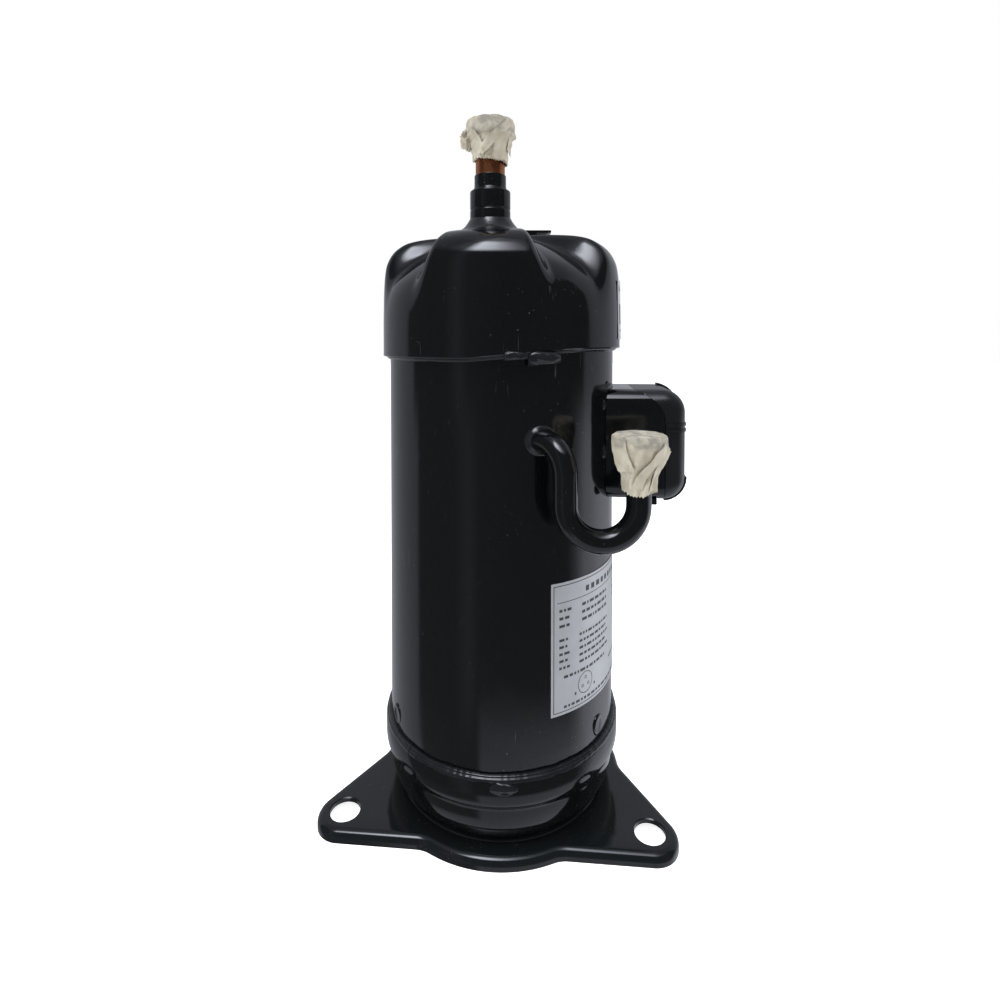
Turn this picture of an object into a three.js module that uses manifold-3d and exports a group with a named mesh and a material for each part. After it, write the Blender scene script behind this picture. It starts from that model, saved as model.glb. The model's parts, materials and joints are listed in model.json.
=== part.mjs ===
// Hermetic scroll compressor for refrigeration: a slim welded steel shell on a pressed foot plate,
// a suction tube through the top cap, a discharge tube and a terminal box on the side, and the
// whole scroll pump and motor inside.
//
// Millimetres, +Z up. The origin is the centre of the shell's flat bottom, which stands on the
// ground together with the foot plate's turned-down edge. Angles are degrees from +X towards +Y.

import * as THREE from 'three';
import { mergeVertices } from 'three/addons/utils/BufferGeometryUtils.js';
import Module from 'manifold-3d';

const wasm = await Module();
wasm.setup();

// ---------------------------------------------------------------- driving dimensions

const GAP = 0.3;                 // clearance between pieces that meet
const ROUND = 32;                // facets round the shell and what is concentric with it
const MOTOR_ROUND = 24;          // facets round the motor's pieces and the shaft
const SMALL_ROUND = 16;          // facets round the small parts

// Welded shell
const SHELL_RADIUS = 69.9;
const SHELL_WALL = 4;
const SHELL_BORE = SHELL_RADIUS - SHELL_WALL;
const SHELL_BOTTOM = 34;
const SHELL_TOP = 290;
const CAP_BORE = SHELL_RADIUS + GAP;
const TOP_CAP_RIM = 267.6;
const TOP_CAP_HEIGHT = 343;
const TOP_CAP_WALL = 4;
const LOBE_AZIMUTH = 260;        // one of the dome's four lobes; the others are 90 degrees apart
const BOTTOM_CAP_RIM = 46;
const BOTTOM_CAP_RADIUS = 73.1;
const BOTTOM_CAP_WALL = 4;
const WELD_SIZE = 3.2;

// Foot plate
const FOOT_AZIMUTHS = [205, 325, 85];
const FOOT_HOLE_CIRCLE = 99.7;   // radius on which the holes lie
const FOOT_HOLE_RADIUS = 8.5;
const FOOT_CORNER = 15.45;
const FOOT_BULGE = 75;
const FOOT_FILLET = 18;
const FOOT_HEIGHT = 6.5;
const FOOT_SHEET = 2.6;
const FOOT_BEND = 4;
const FOOT_BORE = 61.8;

// Suction side, on the top cap
const SUCTION = { x: -6.6, y: -36 };
const COLLAR_RADIUS = 11.6;
const COLLAR_TOP = 362.8;
const NECK_RADIUS = 9.2;
const NECK_TOP = 371.6;
const SUCTION_TUBE_RADIUS = 8.4;
const SUCTION_TUBE_WALL = 1.1;
const SUCTION_TUBE_TOP = 393.4;
const SUCTION_TUBE_LOW = 302.3;
const SUCTION_TAPE_BOTTOM = 377.5;
const SUCTION_TAPE_TOP = 402.6;

// Discharge side, on the shell wall
const DISCHARGE_HEIGHT = 224.5;
const DISCHARGE_RADIUS = 6.35;
const DISCHARGE_WALL = 1;
const DISCHARGE_PLANE = -79.8;   // y of the tube's U bend
const DISCHARGE_LEGS = [32, 69.2];
const DISCHARGE_ELBOW = 15.5;
const DISCHARGE_LOW = 175.2;
const DISCHARGE_END = 216;
const DISCHARGE_TAPE_BOTTOM = 200.6;
const DISCHARGE_TAPE_TOP = 231.3;

// Terminal box, in a frame turned to its azimuth: x is the distance from the compressor's axis
const BOX_AZIMUTH = -7;
const BOX = { inner: 62, outer: 110.5, half: 28, low: 184, high: 248.5 };
const BOX_WALL = 2;
const BOX_CORNER = 13;
const BOX_EDGE = 9;
const BOX_SEAM = 98;
const BOX_SEAM_TOP = 81;
const TERMINAL_HEIGHT = 216;
const TERMINAL_RADIUS = 17.6;
const PIN_CIRCLE = 8.5;
const PIN_RADIUS = 1.6;
const GLASS_RADIUS = 4;

// Labels
const NAMEPLATE = { from: -68, to: 14, low: 75, high: 147 };
const CAP_LABEL = { from: -22, to: 20, low: 278, high: 313 };

// Scroll set
const SCROLL_PITCH = 17;
const SCROLL_WALL = 4;
const ORBIT = 4;                 // crank throw, which is also the orbit's radius
const WRAP_START = 4.4;          // involute angle of a wrap's inner end, radians
const WRAP_END = 13.6;
const WRAP_TURN = 265;           // turns the fixed wrap so that it ends just before the inlet
const WRAP_HEIGHT = 21.4;
const SCROLL_FACE = 274;         // the orbiting plate's top, on which its wrap stands
const ORBIT_PLATE = 8;
const ORBIT_PLATE_RADIUS = 51;
const FIXED_TOP = 306;
const SUCTION_PORT = 8.2;
const SCROLL_BORE = 46;
const DISCHARGE_PORT = 4.5;

// Main frame, shaft and motor
const FRAME_RADIUS = SHELL_BORE - GAP;
const OLDHAM = { inner: 41, outer: 50, low: 258, high: 265.7, key: 8 };
const THRUST_RADIUS = 36.5;
const FRAME_RECESS = 56;
const BOLT_CIRCLE = 60.2;
const BOLT_RADIUS = 2.5;
const HUB = { outer: 17, bore: 12.3, low: 244 };
const SHAFT_RADIUS = 14;
const PIN_OFFSET_RADIUS = 8;
const MAIN_BEARING = { outer: 17.2, low: 207, high: 240 };
const STATOR = { low: 96, high: 164, bore: 33.6, slots: 24 };
const ROTOR_RADIUS = 33;
const WINDING = { inner: 36, outer: 60, drop: 24 };
const LOWER_FRAME = { low: 56, high: 66 };
const LOWER_BEARING_OUTER = 12.2;
const LOWER_SHAFT_RADIUS = 9;
const SHAFT_BOTTOM = 34;
const PICKUP_BOTTOM = 13;

// ---------------------------------------------------------------- materials

const paint = (color, roughness, metalness) =>
  new THREE.MeshStandardMaterial({ color, roughness, metalness });

const BLACK_PAINT = paint(0x0c0d10, 0.18, 0.1);
const BLACK_PLASTIC = paint(0x101114, 0.4, 0);
const COPPER = paint(0xb4683f, 0.32, 1);
const WIRE = paint(0x9a4a26, 0.4, 0.6);
const TAPE = paint(0xe4dcc4, 0.85, 0);
const RUBBER = paint(0x3b3d40, 0.8, 0);
const LABEL = paint(0xc9cbcd, 0.45, 0.2);
const WHITE_LABEL = paint(0xe8eaee, 0.5, 0);
const IRON = paint(0x55585c, 0.6, 0.8);
const STEEL = paint(0xa7abb0, 0.3, 1);
const LAMINATION = paint(0x6e7277, 0.5, 0.8);
const ALUMINIUM = paint(0xc3c6c9, 0.4, 1);
const BRONZE = paint(0xb08a4f, 0.35, 1);
const GLASS = paint(0x4a6a70, 0.2, 0);

// ---------------------------------------------------------------- solids from geometry

const radians = THREE.MathUtils.degToRad;

function signedVolume(points, faces) {
  const corner = [0, 1, 2].map(() => new THREE.Vector3());
  let total = 0;
  for (let i = 0; i < faces.length; i += 3) {
    corner.forEach((v, k) => v.fromArray(points, faces[i + k] * 3));
    total += corner[0].dot(corner[1].clone().cross(corner[2]));
  }
  return total / 6;
}

// A closed three.js geometry as a manifold solid that faces outwards.
function solidOf(geometry) {
  const bare = new THREE.BufferGeometry();
  bare.setAttribute('position', geometry.attributes.position);
  bare.setIndex(geometry.index);
  const merged = mergeVertices(bare, 1e-4);
  const index = merged.index.array;
  const faces = [];
  for (let i = 0; i < index.length; i += 3) {
    const [a, b, c] = index.slice(i, i + 3);
    if (a !== b && b !== c && c !== a) faces.push(a, b, c);
  }
  const points = new Float32Array(merged.attributes.position.array);
  if (signedVolume(points, faces) < 0) faces.reverse();
  const mesh = new wasm.Mesh({
    numProp: 3,
    vertProperties: points,
    triVerts: new Uint32Array(faces),
  });
  return new wasm.Manifold(mesh);
}

function geometryOf(solid) {
  const { vertProperties, triVerts } = solid.getMesh();
  const geometry = new THREE.BufferGeometry();
  geometry.setAttribute('position', new THREE.BufferAttribute(vertProperties, 3));
  geometry.setIndex(new THREE.BufferAttribute(triVerts, 1));
  geometry.computeVertexNormals();
  return geometry;
}

const join = (solids) => solids.reduce((whole, piece) => whole.add(piece));
const cut = (solid, tools) => tools.reduce((left, tool) => left.subtract(tool), solid);

// A solid of revolution about Z. The profile is a list of [radius, height] and closes on itself.
function latheGeometry(profile, segments = ROUND) {
  const points = [...profile, profile[0]].map(([r, z]) => new THREE.Vector2(r, z));
  return new THREE.LatheGeometry(points, segments).rotateX(Math.PI / 2);
}

const lathe = (profile, segments) => solidOf(latheGeometry(profile, segments));

const ringProfile = (inner, outer, low, high) =>
  [[inner, low], [outer, low], [outer, high], [inner, high]];

const ring = (inner, outer, low, high, segments) =>
  lathe(ringProfile(inner, outer, low, high), segments);

const disc = (radius, low, high, segments) => ring(0, radius, low, high, segments);

// An upright cylinder or tube at a place other than the axis.
function post({ x, y }, inner, outer, low, high, segments = SMALL_ROUND) {
  return solidOf(latheGeometry(ringProfile(inner, outer, low, high), segments).translate(x, y, 0));
}

// A cylinder or tube whose axis lies along X, centred on (y, z).
function spindle(inner, outer, from, to, y, z, segments = SMALL_ROUND) {
  const geometry = latheGeometry(ringProfile(inner, outer, from, to), segments);
  return solidOf(geometry.rotateY(Math.PI / 2).translate(0, y, z));
}

function box(low, high) {
  const size = high.map((v, i) => v - low[i]);
  const middle = high.map((v, i) => (v + low[i]) / 2);
  return solidOf(new THREE.BoxGeometry(...size).translate(...middle));
}

function prism(shape, low, high) {
  const options = { depth: high - low, bevelEnabled: false, curveSegments: 8 };
  return solidOf(new THREE.ExtrudeGeometry(shape, options).translate(0, 0, low));
}

// A surface through equal rings of points. Closed ones join the last ring to the first, and
// open ones get an end face on the first and the last ring.
function skin(rings, closed) {
  const count = rings[0].length;
  const faces = [];
  const last = closed ? rings.length : rings.length - 1;
  for (let i = 0; i < last; i += 1) {
    const here = i * count;
    const next = ((i + 1) % rings.length) * count;
    for (let j = 0; j < count; j += 1) {
      const k = (j + 1) % count;
      faces.push(here + j, here + k, next + k, here + j, next + k, next + j);
    }
  }
  if (!closed) {
    faces.push(...endFace(rings[0], 0, true));
    faces.push(...endFace(rings[rings.length - 1], (rings.length - 1) * count, false));
  }
  const geometry = new THREE.BufferGeometry();
  const points = rings.flat().flatMap((p) => [p.x, p.y, p.z]);
  geometry.setAttribute('position', new THREE.Float32BufferAttribute(points, 3));
  geometry.setIndex(faces);
  return solidOf(geometry);
}

// Triangles over one end ring, in the plane in which the ring is widest.
function endFace(points, start, reversed) {
  const size = new THREE.Box3().setFromPoints(points).getSize(new THREE.Vector3());
  const flatAxis = size.z <= Math.min(size.x, size.y) ? 'z' : size.x < size.y ? 'x' : 'y';
  const across = { z: ['x', 'y'], x: ['y', 'z'], y: ['z', 'x'] }[flatAxis];
  const outline = points.map((p) => new THREE.Vector2(p[across[0]], p[across[1]]));
  const flip = THREE.ShapeUtils.isClockWise(outline) !== reversed;
  return THREE.ShapeUtils.triangulateShape(outline, [])
    .flatMap(([a, b, c]) => (flip ? [a, c, b] : [a, b, c]))
    .map((i) => start + i);
}

const polar = (radius, degrees, z = 0) =>
  new THREE.Vector3(radius * Math.cos(radians(degrees)), radius * Math.sin(radians(degrees)), z);

// A band of the given [radius, height] profile between two azimuths.
function sector(profile, from, to, steps) {
  const rings = [];
  for (let i = 0; i <= steps; i += 1) {
    const azimuth = from + ((to - from) * i) / steps;
    rings.push(profile.map(([r, z]) => polar(r, azimuth, z)));
  }
  return skin(rings, false);
}

function arc(cx, cy, radius, from, to, steps) {
  const points = [];
  for (let i = 0; i <= steps; i += 1) {
    const angle = radians(from + ((to - from) * i) / steps);
    points.push([cx + radius * Math.cos(angle), cy + radius * Math.sin(angle)]);
  }
  return points;
}

// ---------------------------------------------------------------- bent tubes

class Bend extends THREE.Curve {
  constructor(centre, from, to) {
    super();
    Object.assign(this, { centre, from, to, angle: from.angleTo(to) });
  }

  getPoint(t, target = new THREE.Vector3()) {
    const { from, to, angle, centre } = this;
    const a = Math.sin((1 - t) * angle) / Math.sin(angle);
    const b = Math.sin(t * angle) / Math.sin(angle);
    return target.copy(from).multiplyScalar(a).addScaledVector(to, b).add(centre);
  }
}

// Straight runs between the corners, each corner rounded to its own radius.
function bentPath(corners, radii) {
  const path = new THREE.CurvePath();
  let start = corners[0];
  for (let i = 1; i < corners.length - 1; i += 1) {
    const back = corners[i - 1].clone().sub(corners[i]).normalize();
    const ahead = corners[i + 1].clone().sub(corners[i]).normalize();
    const half = back.angleTo(ahead) / 2;
    const radius = radii[i - 1];
    const reach = radius / Math.tan(half);
    const entry = corners[i].clone().addScaledVector(back, reach);
    const exit = corners[i].clone().addScaledVector(ahead, reach);
    const middle = back.clone().add(ahead).normalize();
    const centre = corners[i].clone().addScaledVector(middle, radius / Math.sin(half));
    if (start.distanceTo(entry) > 0.5) path.add(new THREE.LineCurve3(start, entry));
    path.add(new Bend(centre, entry.clone().sub(centre), exit.clone().sub(centre)));
    start = exit;
  }
  path.add(new THREE.LineCurve3(start, corners[corners.length - 1]));
  return path;
}

function sweep(path, radius, steps, sides) {
  const section = new THREE.Shape();
  section.absarc(0, 0, radius, 0, 2 * Math.PI, false);
  const points = section.getSpacedPoints(sides).slice(0, sides);
  const shape = new THREE.Shape(points);
  const options = { steps, extrudePath: path, bevelEnabled: false };
  return solidOf(new THREE.ExtrudeGeometry(shape, options));
}

// ---------------------------------------------------------------- the object's tree

const compressor = new THREE.Group();
const terminalSide = new THREE.Group();
terminalSide.rotation.z = radians(BOX_AZIMUTH);
compressor.add(terminalSide);

function addPart(name, solid, material, group = compressor) {
  const mesh = new THREE.Mesh(geometryOf(solid), material);
  mesh.name = name;
  group.add(mesh);
}

// ---------------------------------------------------------------- openings in the shell

const dischargeInlet = polar(SHELL_RADIUS, -72.8, DISCHARGE_HEIGHT);
const dischargeCorner = new THREE.Vector3(DISCHARGE_LEGS[0], DISCHARGE_PLANE, DISCHARGE_HEIGHT);
const dischargeStart = dischargeInlet.clone().lerp(dischargeCorner, -0.5);

function dischargeHole() {
  const path = new THREE.LineCurve3(dischargeStart, dischargeCorner);
  return sweep(path, DISCHARGE_RADIUS + GAP, 1, 16);
}

function terminalHole() {
  const length = [SHELL_BORE - 10, SHELL_RADIUS + 10];
  const geometry = latheGeometry(ringProfile(0, TERMINAL_RADIUS + GAP, ...length), SMALL_ROUND);
  geometry.rotateY(Math.PI / 2).translate(0, 0, TERMINAL_HEIGHT).rotateZ(radians(BOX_AZIMUTH));
  return solidOf(geometry);
}

// ---------------------------------------------------------------- shell, caps and welds

function shellBody() {
  const tube = ring(SHELL_BORE, SHELL_RADIUS, SHELL_BOTTOM, SHELL_TOP);
  return cut(tube, [dischargeHole(), terminalHole()]);
}

// Outer profiles of the dome from its top to its shoulder, over a lobe and down a valley.
const LOBE_PROFILE = [[0, 343], [22, 342.4], [45, 340.2], [57.2, 337.7], [63.5, 334.6],
  [68.2, 330.3], [71.6, 324.1], [72.9, 317.9], [73.6, 309], [73.9, 299]];
const VALLEY_PROFILE = [[0, 343], [18, 340.6], [33, 335.6], [45, 330.2], [54, 325],
  [62, 319], [68.4, 312], [71.6, 305.6], [73, 300], [73.9, 293]];

// 1 on the middle of a lobe, 0 along a valley, with quick flanks between them.
function lobeShare(azimuth) {
  const wave = Math.cos(radians(4 * (azimuth - LOBE_AZIMUTH)));
  return THREE.MathUtils.smoothstep(wave, -0.75, 0.1);
}

function capProfile(azimuth) {
  const share = lobeShare(azimuth);
  const crown = LOBE_PROFILE.map(([r, z], i) => {
    const [rv, zv] = VALLEY_PROFILE[i];
    return [rv + (r - rv) * share, zv + (z - zv) * share];
  });
  const inside = [[CAP_BORE, TOP_CAP_RIM], [CAP_BORE, 297], [66.5, 309], [58, 318],
    [42, 327], [0, TOP_CAP_HEIGHT - TOP_CAP_WALL - 1.5]];
  return [...crown, [74.3, TOP_CAP_RIM], ...inside];
}

function topCap() {
  const rings = [];
  const segments = 48;
  for (let i = 0; i < segments; i += 1) {
    const azimuth = (360 * i) / segments;
    rings.push(capProfile(azimuth).map(([r, z]) => polar(r, azimuth, z)));
  }
  const hole = post(SUCTION, 0, COLLAR_RADIUS + GAP, 300, 360);
  return cut(skin(rings, true), [hole]);
}

function bottomCap() {
  const seat = BOTTOM_CAP_WALL + SHELL_BOTTOM - 4.3;
  return lathe([[0, 0], [40, 0], [52, 1.6], [61.4, 6.5], [66.4, 11.5], [69, 17.5], [69.9, 23],
    [69.9, 28.5], [BOTTOM_CAP_RADIUS - 0.6, 31.5], [BOTTOM_CAP_RADIUS, 33.5], [BOTTOM_CAP_RADIUS, BOTTOM_CAP_RIM], [CAP_BORE, BOTTOM_CAP_RIM],
    [CAP_BORE, seat], [SHELL_BORE, seat], [65, 19], [56, 9], [40, 4.4], [0, 4]]);
}

// A fillet of weld metal in the corner between a cap's lip and the shell.
function weldBead(lip, direction) {
  const near = lip + direction * GAP;
  const far = near + direction * WELD_SIZE;
  const middle = near + direction * WELD_SIZE * 0.6;
  return lathe([[CAP_BORE, near], [CAP_BORE + WELD_SIZE, near],
    [CAP_BORE + WELD_SIZE * 0.75, middle], [CAP_BORE + 0.6, far], [CAP_BORE, far]]);
}

// ---------------------------------------------------------------- foot plate

// The plate's outline, moved inwards by an inset: a triangle with rounded corners, whose sides
// bulge round the shell. Every part of it is an arc or a straight between two arcs.
function footOutline(inset, z) {
  const side = FOOT_HOLE_CIRCLE / 2 + FOOT_CORNER - inset;
  const bulge = FOOT_BULGE - inset;
  const fillet = FOOT_FILLET + inset;
  const along = Math.sqrt((bulge + fillet) ** 2 - (side + fillet) ** 2);
  const lean = THREE.MathUtils.radToDeg(Math.atan2(along, side + fillet));
  const points = [];
  FOOT_AZIMUTHS.forEach((azimuth) => {
    const hole = polar(FOOT_HOLE_CIRCLE, azimuth);
    const normal = azimuth + 60;
    const centres = [-along, along].map((t) => {
      const out = polar(side + fillet, normal);
      return out.add(polar(t, normal + 90));
    });
    points.push(...arc(hole.x, hole.y, FOOT_CORNER - inset, azimuth - 60, azimuth + 60, 7));
    points.push(...arc(centres[0].x, centres[0].y, fillet, normal + 180, normal + 180 - lean, 3));
    points.push(...arc(0, 0, bulge, normal - lean, normal + lean, 6).slice(1, -1));
    points.push(...arc(centres[1].x, centres[1].y, fillet, normal + 180 + lean, normal + 180, 3));
  });
  return points.map(([x, y]) => new THREE.Vector3(x, y, z));
}

// The outline's solid with its upper edge rounded, as sheet metal is where it is turned down.
function footBlank(inset, low, high, bend) {
  const rings = [footOutline(inset, low)];
  for (const turn of [0, 45, 90]) {
    const rise = bend * Math.sin(radians(turn));
    const pull = bend * (1 - Math.cos(radians(turn)));
    rings.push(footOutline(inset + pull, high - bend + rise));
  }
  return skin(rings, false);
}

function footPlate() {
  const outside = footBlank(0, 0, FOOT_HEIGHT, FOOT_BEND);
  const hollow = footBlank(FOOT_SHEET, -1, FOOT_HEIGHT - FOOT_SHEET, FOOT_BEND - FOOT_SHEET);
  const holes = FOOT_AZIMUTHS.map((azimuth) =>
    post(polar(FOOT_HOLE_CIRCLE, azimuth), 0, FOOT_HOLE_RADIUS, -2, 10, 16));
  return cut(outside, [hollow, ...holes, disc(FOOT_BORE, -2, 10)]);
}

// ---------------------------------------------------------------- suction tube, plug and tape

// Lathe profiles of the suction side turn about the tube's own axis.
function onSuctionAxis(profile, segments = SMALL_ROUND) {
  return solidOf(latheGeometry(profile, segments).translate(SUCTION.x, SUCTION.y, 0));
}

function suctionCollar() {
  const bore = SUCTION_TUBE_RADIUS + GAP;
  const stub = onSuctionAxis([[bore, 325], [COLLAR_RADIUS, 325], [COLLAR_RADIUS, COLLAR_TOP],
    [NECK_RADIUS, COLLAR_TOP + 0.6], [NECK_RADIUS, NECK_TOP], [bore, NECK_TOP]]);
  const flare = onSuctionAxis([[bore + 1, 330], [17.4, 330], [17.4, 343.2], [15.4, 344.6],
    [13, 347.6], [COLLAR_RADIUS, 351], [bore + 1, 351]]);
  const crown = LOBE_PROFILE.map(([r, z]) => [r, z + 2.5 * GAP]);
  const dome = lathe([[0, 300], ...crown, [74, 300]].filter(([r, z]) => r === 0 || z > 300));
  return join([stub, cut(flare, [dome])]);
}

function suctionTube() {
  const bore = SUCTION_TUBE_RADIUS - SUCTION_TUBE_WALL;
  return onSuctionAxis(ringProfile(bore, SUCTION_TUBE_RADIUS, SUCTION_TUBE_LOW, SUCTION_TUBE_TOP));
}

function suctionPlug() {
  const stem = SUCTION_TUBE_RADIUS - SUCTION_TUBE_WALL - GAP;
  const under = SUCTION_TUBE_TOP + GAP;
  return onSuctionAxis([[0, SUCTION_TUBE_TOP - 10], [stem, SUCTION_TUBE_TOP - 9], [stem, under],
    [12.4, under], [13, under + 1.2], [13, 399.6], [12.4, 400.6], [0, 401]]);
}

function suctionTape() {
  const hold = SUCTION_TUBE_RADIUS + GAP + 0.1;
  return onSuctionAxis([[hold, SUCTION_TAPE_BOTTOM], [11.4, SUCTION_TAPE_BOTTOM],
    [11.9, 385], [13.4, 391], [15, 393.4], [15.2, 396], [15.2, 400], [14.2, SUCTION_TAPE_TOP],
    [0, SUCTION_TAPE_TOP], [0, 401.4], [12.7, 401], [13.4, 399.8], [13.4, 394.6], [12.8, 393.1],
    [hold, 393.1]]);
}

// ---------------------------------------------------------------- discharge tube, plug and tape

const dischargeAxis = { x: DISCHARGE_LEGS[1], y: DISCHARGE_PLANE };

function onDischargeAxis(profile, segments = SMALL_ROUND) {
  return solidOf(latheGeometry(profile, segments).translate(dischargeAxis.x, dischargeAxis.y, 0));
}

function dischargePath(over) {
  const [left, right] = DISCHARGE_LEGS;
  const bend = (right - left) / 2;
  const start = dischargeStart.clone().lerp(dischargeCorner, -over / 20);
  const corners = [
    start,
    dischargeCorner,
    new THREE.Vector3(left, DISCHARGE_PLANE, DISCHARGE_LOW),
    new THREE.Vector3(right, DISCHARGE_PLANE, DISCHARGE_LOW),
    new THREE.Vector3(right, DISCHARGE_PLANE, DISCHARGE_END + over),
  ];
  return bentPath(corners, [DISCHARGE_ELBOW, bend - 0.01, bend - 0.01]);
}

function dischargeTube() {
  const outside = sweep(dischargePath(0), DISCHARGE_RADIUS, 28, 10);
  const bore = sweep(dischargePath(1), DISCHARGE_RADIUS - DISCHARGE_WALL, 28, 8);
  return outside.subtract(bore);
}

function dischargePlug() {
  const stem = DISCHARGE_RADIUS - DISCHARGE_WALL - GAP - 0.2;
  const under = DISCHARGE_END + GAP;
  return onDischargeAxis([[0, DISCHARGE_END - 9], [stem, DISCHARGE_END - 8], [stem, under],
    [10.4, under], [12, under + 4], [12, 226], [11, 227.8], [0, 228.2]]);
}

function dischargeTape() {
  const hold = DISCHARGE_RADIUS + GAP;
  return onDischargeAxis([[hold, DISCHARGE_TAPE_BOTTOM], [10.6, DISCHARGE_TAPE_BOTTOM],
    [11.6, 210], [13.6, 219], [14, 225], [13.6, 229.6], [12.4, DISCHARGE_TAPE_TOP],
    [0, DISCHARGE_TAPE_TOP], [0, 228.6], [11.2, 228.2], [12.4, 226.2], [12.4, 220],
    [10.9, 215.7], [hold, 215.7]]);
}

// ---------------------------------------------------------------- terminal box

// The box's side outline in its (x, z) plane, with small inner and large outer corners.
function boxOutline(inset) {
  const shape = new THREE.Shape();
  const low = BOX.low + inset;
  const high = BOX.high - inset;
  const outer = BOX.outer - inset;
  const corner = BOX_CORNER - inset;
  shape.moveTo(BOX.inner - 12, low);
  shape.lineTo(outer - corner, low);
  shape.absarc(outer - corner, low + corner, corner, -Math.PI / 2, 0, false);
  shape.lineTo(outer, high - corner);
  shape.absarc(outer - corner, high - corner, corner, 0, Math.PI / 2, false);
  shape.lineTo(BOX.inner - 12, high);
  return shape;
}

// The outline drawn across the box's width, its long edges rounded.
function boxBlank(inset) {
  const edge = BOX_EDGE - inset;
  const width = 2 * (BOX.half - BOX_EDGE);
  const options = {
    depth: width,
    bevelEnabled: true,
    bevelThickness: edge,
    bevelSize: edge,
    bevelOffset: -edge,
    bevelSegments: 2,
    curveSegments: 4,
  };
  const geometry = new THREE.ExtrudeGeometry(boxOutline(inset), options);
  return solidOf(geometry.rotateX(Math.PI / 2).translate(0, width / 2, 0));
}

// Everything on the cover's side of the seam, which leans back over the top.
function coverZone(shift) {
  const seam = BOX_SEAM + shift;
  const back = BOX_SEAM_TOP + shift;
  const shape = new THREE.Shape();
  shape.moveTo(seam, BOX.low - 20);
  shape.lineTo(140, BOX.low - 20);
  shape.lineTo(140, BOX.high + 20);
  shape.lineTo(back, BOX.high + 20);
  shape.lineTo(back, BOX.high);
  shape.quadraticCurveTo(seam, BOX.high - 6, seam, BOX.high - 20);
  const zone = new THREE.ExtrudeGeometry(shape, { depth: 100, bevelEnabled: false });
  return solidOf(zone.rotateX(Math.PI / 2).translate(0, 50, 0));
}

function boxShellWall() {
  const outside = boxBlank(0).subtract(boxBlank(BOX_WALL));
  const shellSpace = disc(SHELL_RADIUS + 2 * GAP, BOX.low - 20, BOX.high + 20);
  return outside.subtract(shellSpace);
}

function terminalHousing() {
  const tab = box([86, -25, BOX.low - 2.4], [94, -17, BOX.low + 1]);
  return boxShellWall().subtract(coverZone(0)).add(tab);
}

// A raised lip that follows one of the cover's outer corners across part of its width.
function cornerLip(height, start, end, from, to) {
  const middle = BOX.outer - BOX_CORNER;
  const outside = arc(middle, height, BOX_CORNER + 1.4, start, end, 6);
  const inside = arc(middle, height, BOX_CORNER - 1.6, end, start, 6);
  const outline = [...outside, ...inside];
  const ends = [to, from].map((y) => outline.map(([x, z]) => new THREE.Vector3(x, y, z)));
  return skin(ends, false);
}

function terminalCover() {
  const wall = boxShellWall().intersect(coverZone(GAP));
  const rims = [228.6, 225.2].map((z) => box([99, -BOX.half - 0.7, z - 0.9], [107, -26.5, z + 0.9]));
  const hook = box([99, -BOX.half - 0.6, 208], [101, -26.5, 212]);
  const topLip = cornerLip(BOX.high - BOX_CORNER, 8, 84, 13, 19.5);
  const bottomLip = cornerLip(BOX.low + BOX_CORNER, -84, -8, -19.5, -13);
  return join([wall, ...rims, hook, topLip, bottomLip]);
}

function pinPlaces() {
  return [90, 210, 330].map((angle) => {
    const spot = polar(PIN_CIRCLE, angle);
    return { y: spot.x, z: TERMINAL_HEIGHT + spot.y };
  });
}

function hermeticTerminal() {
  const cup = spindle(0, TERMINAL_RADIUS, 58, 71, 0, TERMINAL_HEIGHT);
  const hollow = spindle(0, TERMINAL_RADIUS - 2, 60.4, 72, 0, TERMINAL_HEIGHT);
  const seats = pinPlaces().map(({ y, z }) => spindle(0, GLASS_RADIUS + GAP, 50, 80, y, z, 12));
  return cut(cup, [hollow, ...seats]);
}

function glassSeal({ y, z }) {
  return spindle(PIN_RADIUS + GAP, GLASS_RADIUS, 57, 62.4, y, z, 12);
}

function terminalPin({ y, z }) {
  return spindle(0, PIN_RADIUS, 50, 86, y, z, 10);
}

function terminalInsulator() {
  const pad = spindle(0, TERMINAL_RADIUS - 3, 71.6, 77, 0, TERMINAL_HEIGHT);
  const holes = pinPlaces().map(({ y, z }) => spindle(0, PIN_RADIUS + GAP, 70, 80, y, z, 10));
  return cut(pad, holes);
}

// ---------------------------------------------------------------- labels and cap bracket

function nameplate() {
  const inner = SHELL_RADIUS + GAP;
  const profile = ringProfile(inner, inner + 0.4, NAMEPLATE.low, NAMEPLATE.high);
  return sector(profile, NAMEPLATE.from, NAMEPLATE.to, 14);
}

function capLabel() {
  const foot = 74.55;
  const head = 74;
  const profile = [[foot, CAP_LABEL.low], [foot + 0.35, CAP_LABEL.low],
    [head + 0.35, CAP_LABEL.high], [head, CAP_LABEL.high]];
  return sector(profile, CAP_LABEL.from, CAP_LABEL.to, 8);
}

// A small strip welded beside the suction tube, on which a sensor or a clip is held.
function capBracket() {
  const foot = box([13, -8, 343], [22, 2, 344.4]);
  const strip = box([11, -8, 344.4], [31, 2, 346]);
  return foot.add(strip);
}

// ---------------------------------------------------------------- scroll set

// One involute wall as a flat outline: its outer flank out, its inner flank back.
function wrapShape(turn) {
  const base = SCROLL_PITCH / (2 * Math.PI);
  const half = SCROLL_WALL / (2 * base);
  const step = radians(13);
  const flank = (phi, shift) => {
    const x = base * (Math.cos(phi) + (phi + shift) * Math.sin(phi));
    const y = base * (Math.sin(phi) - (phi + shift) * Math.cos(phi));
    return new THREE.Vector2(x, y).rotateAround(new THREE.Vector2(0, 0), radians(turn));
  };
  const points = [];
  for (let phi = WRAP_START; phi <= WRAP_END; phi += step) points.push(flank(phi, half));
  for (let phi = WRAP_END; phi >= WRAP_START; phi -= step) points.push(flank(phi, -half));
  return new THREE.Shape(points);
}

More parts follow.
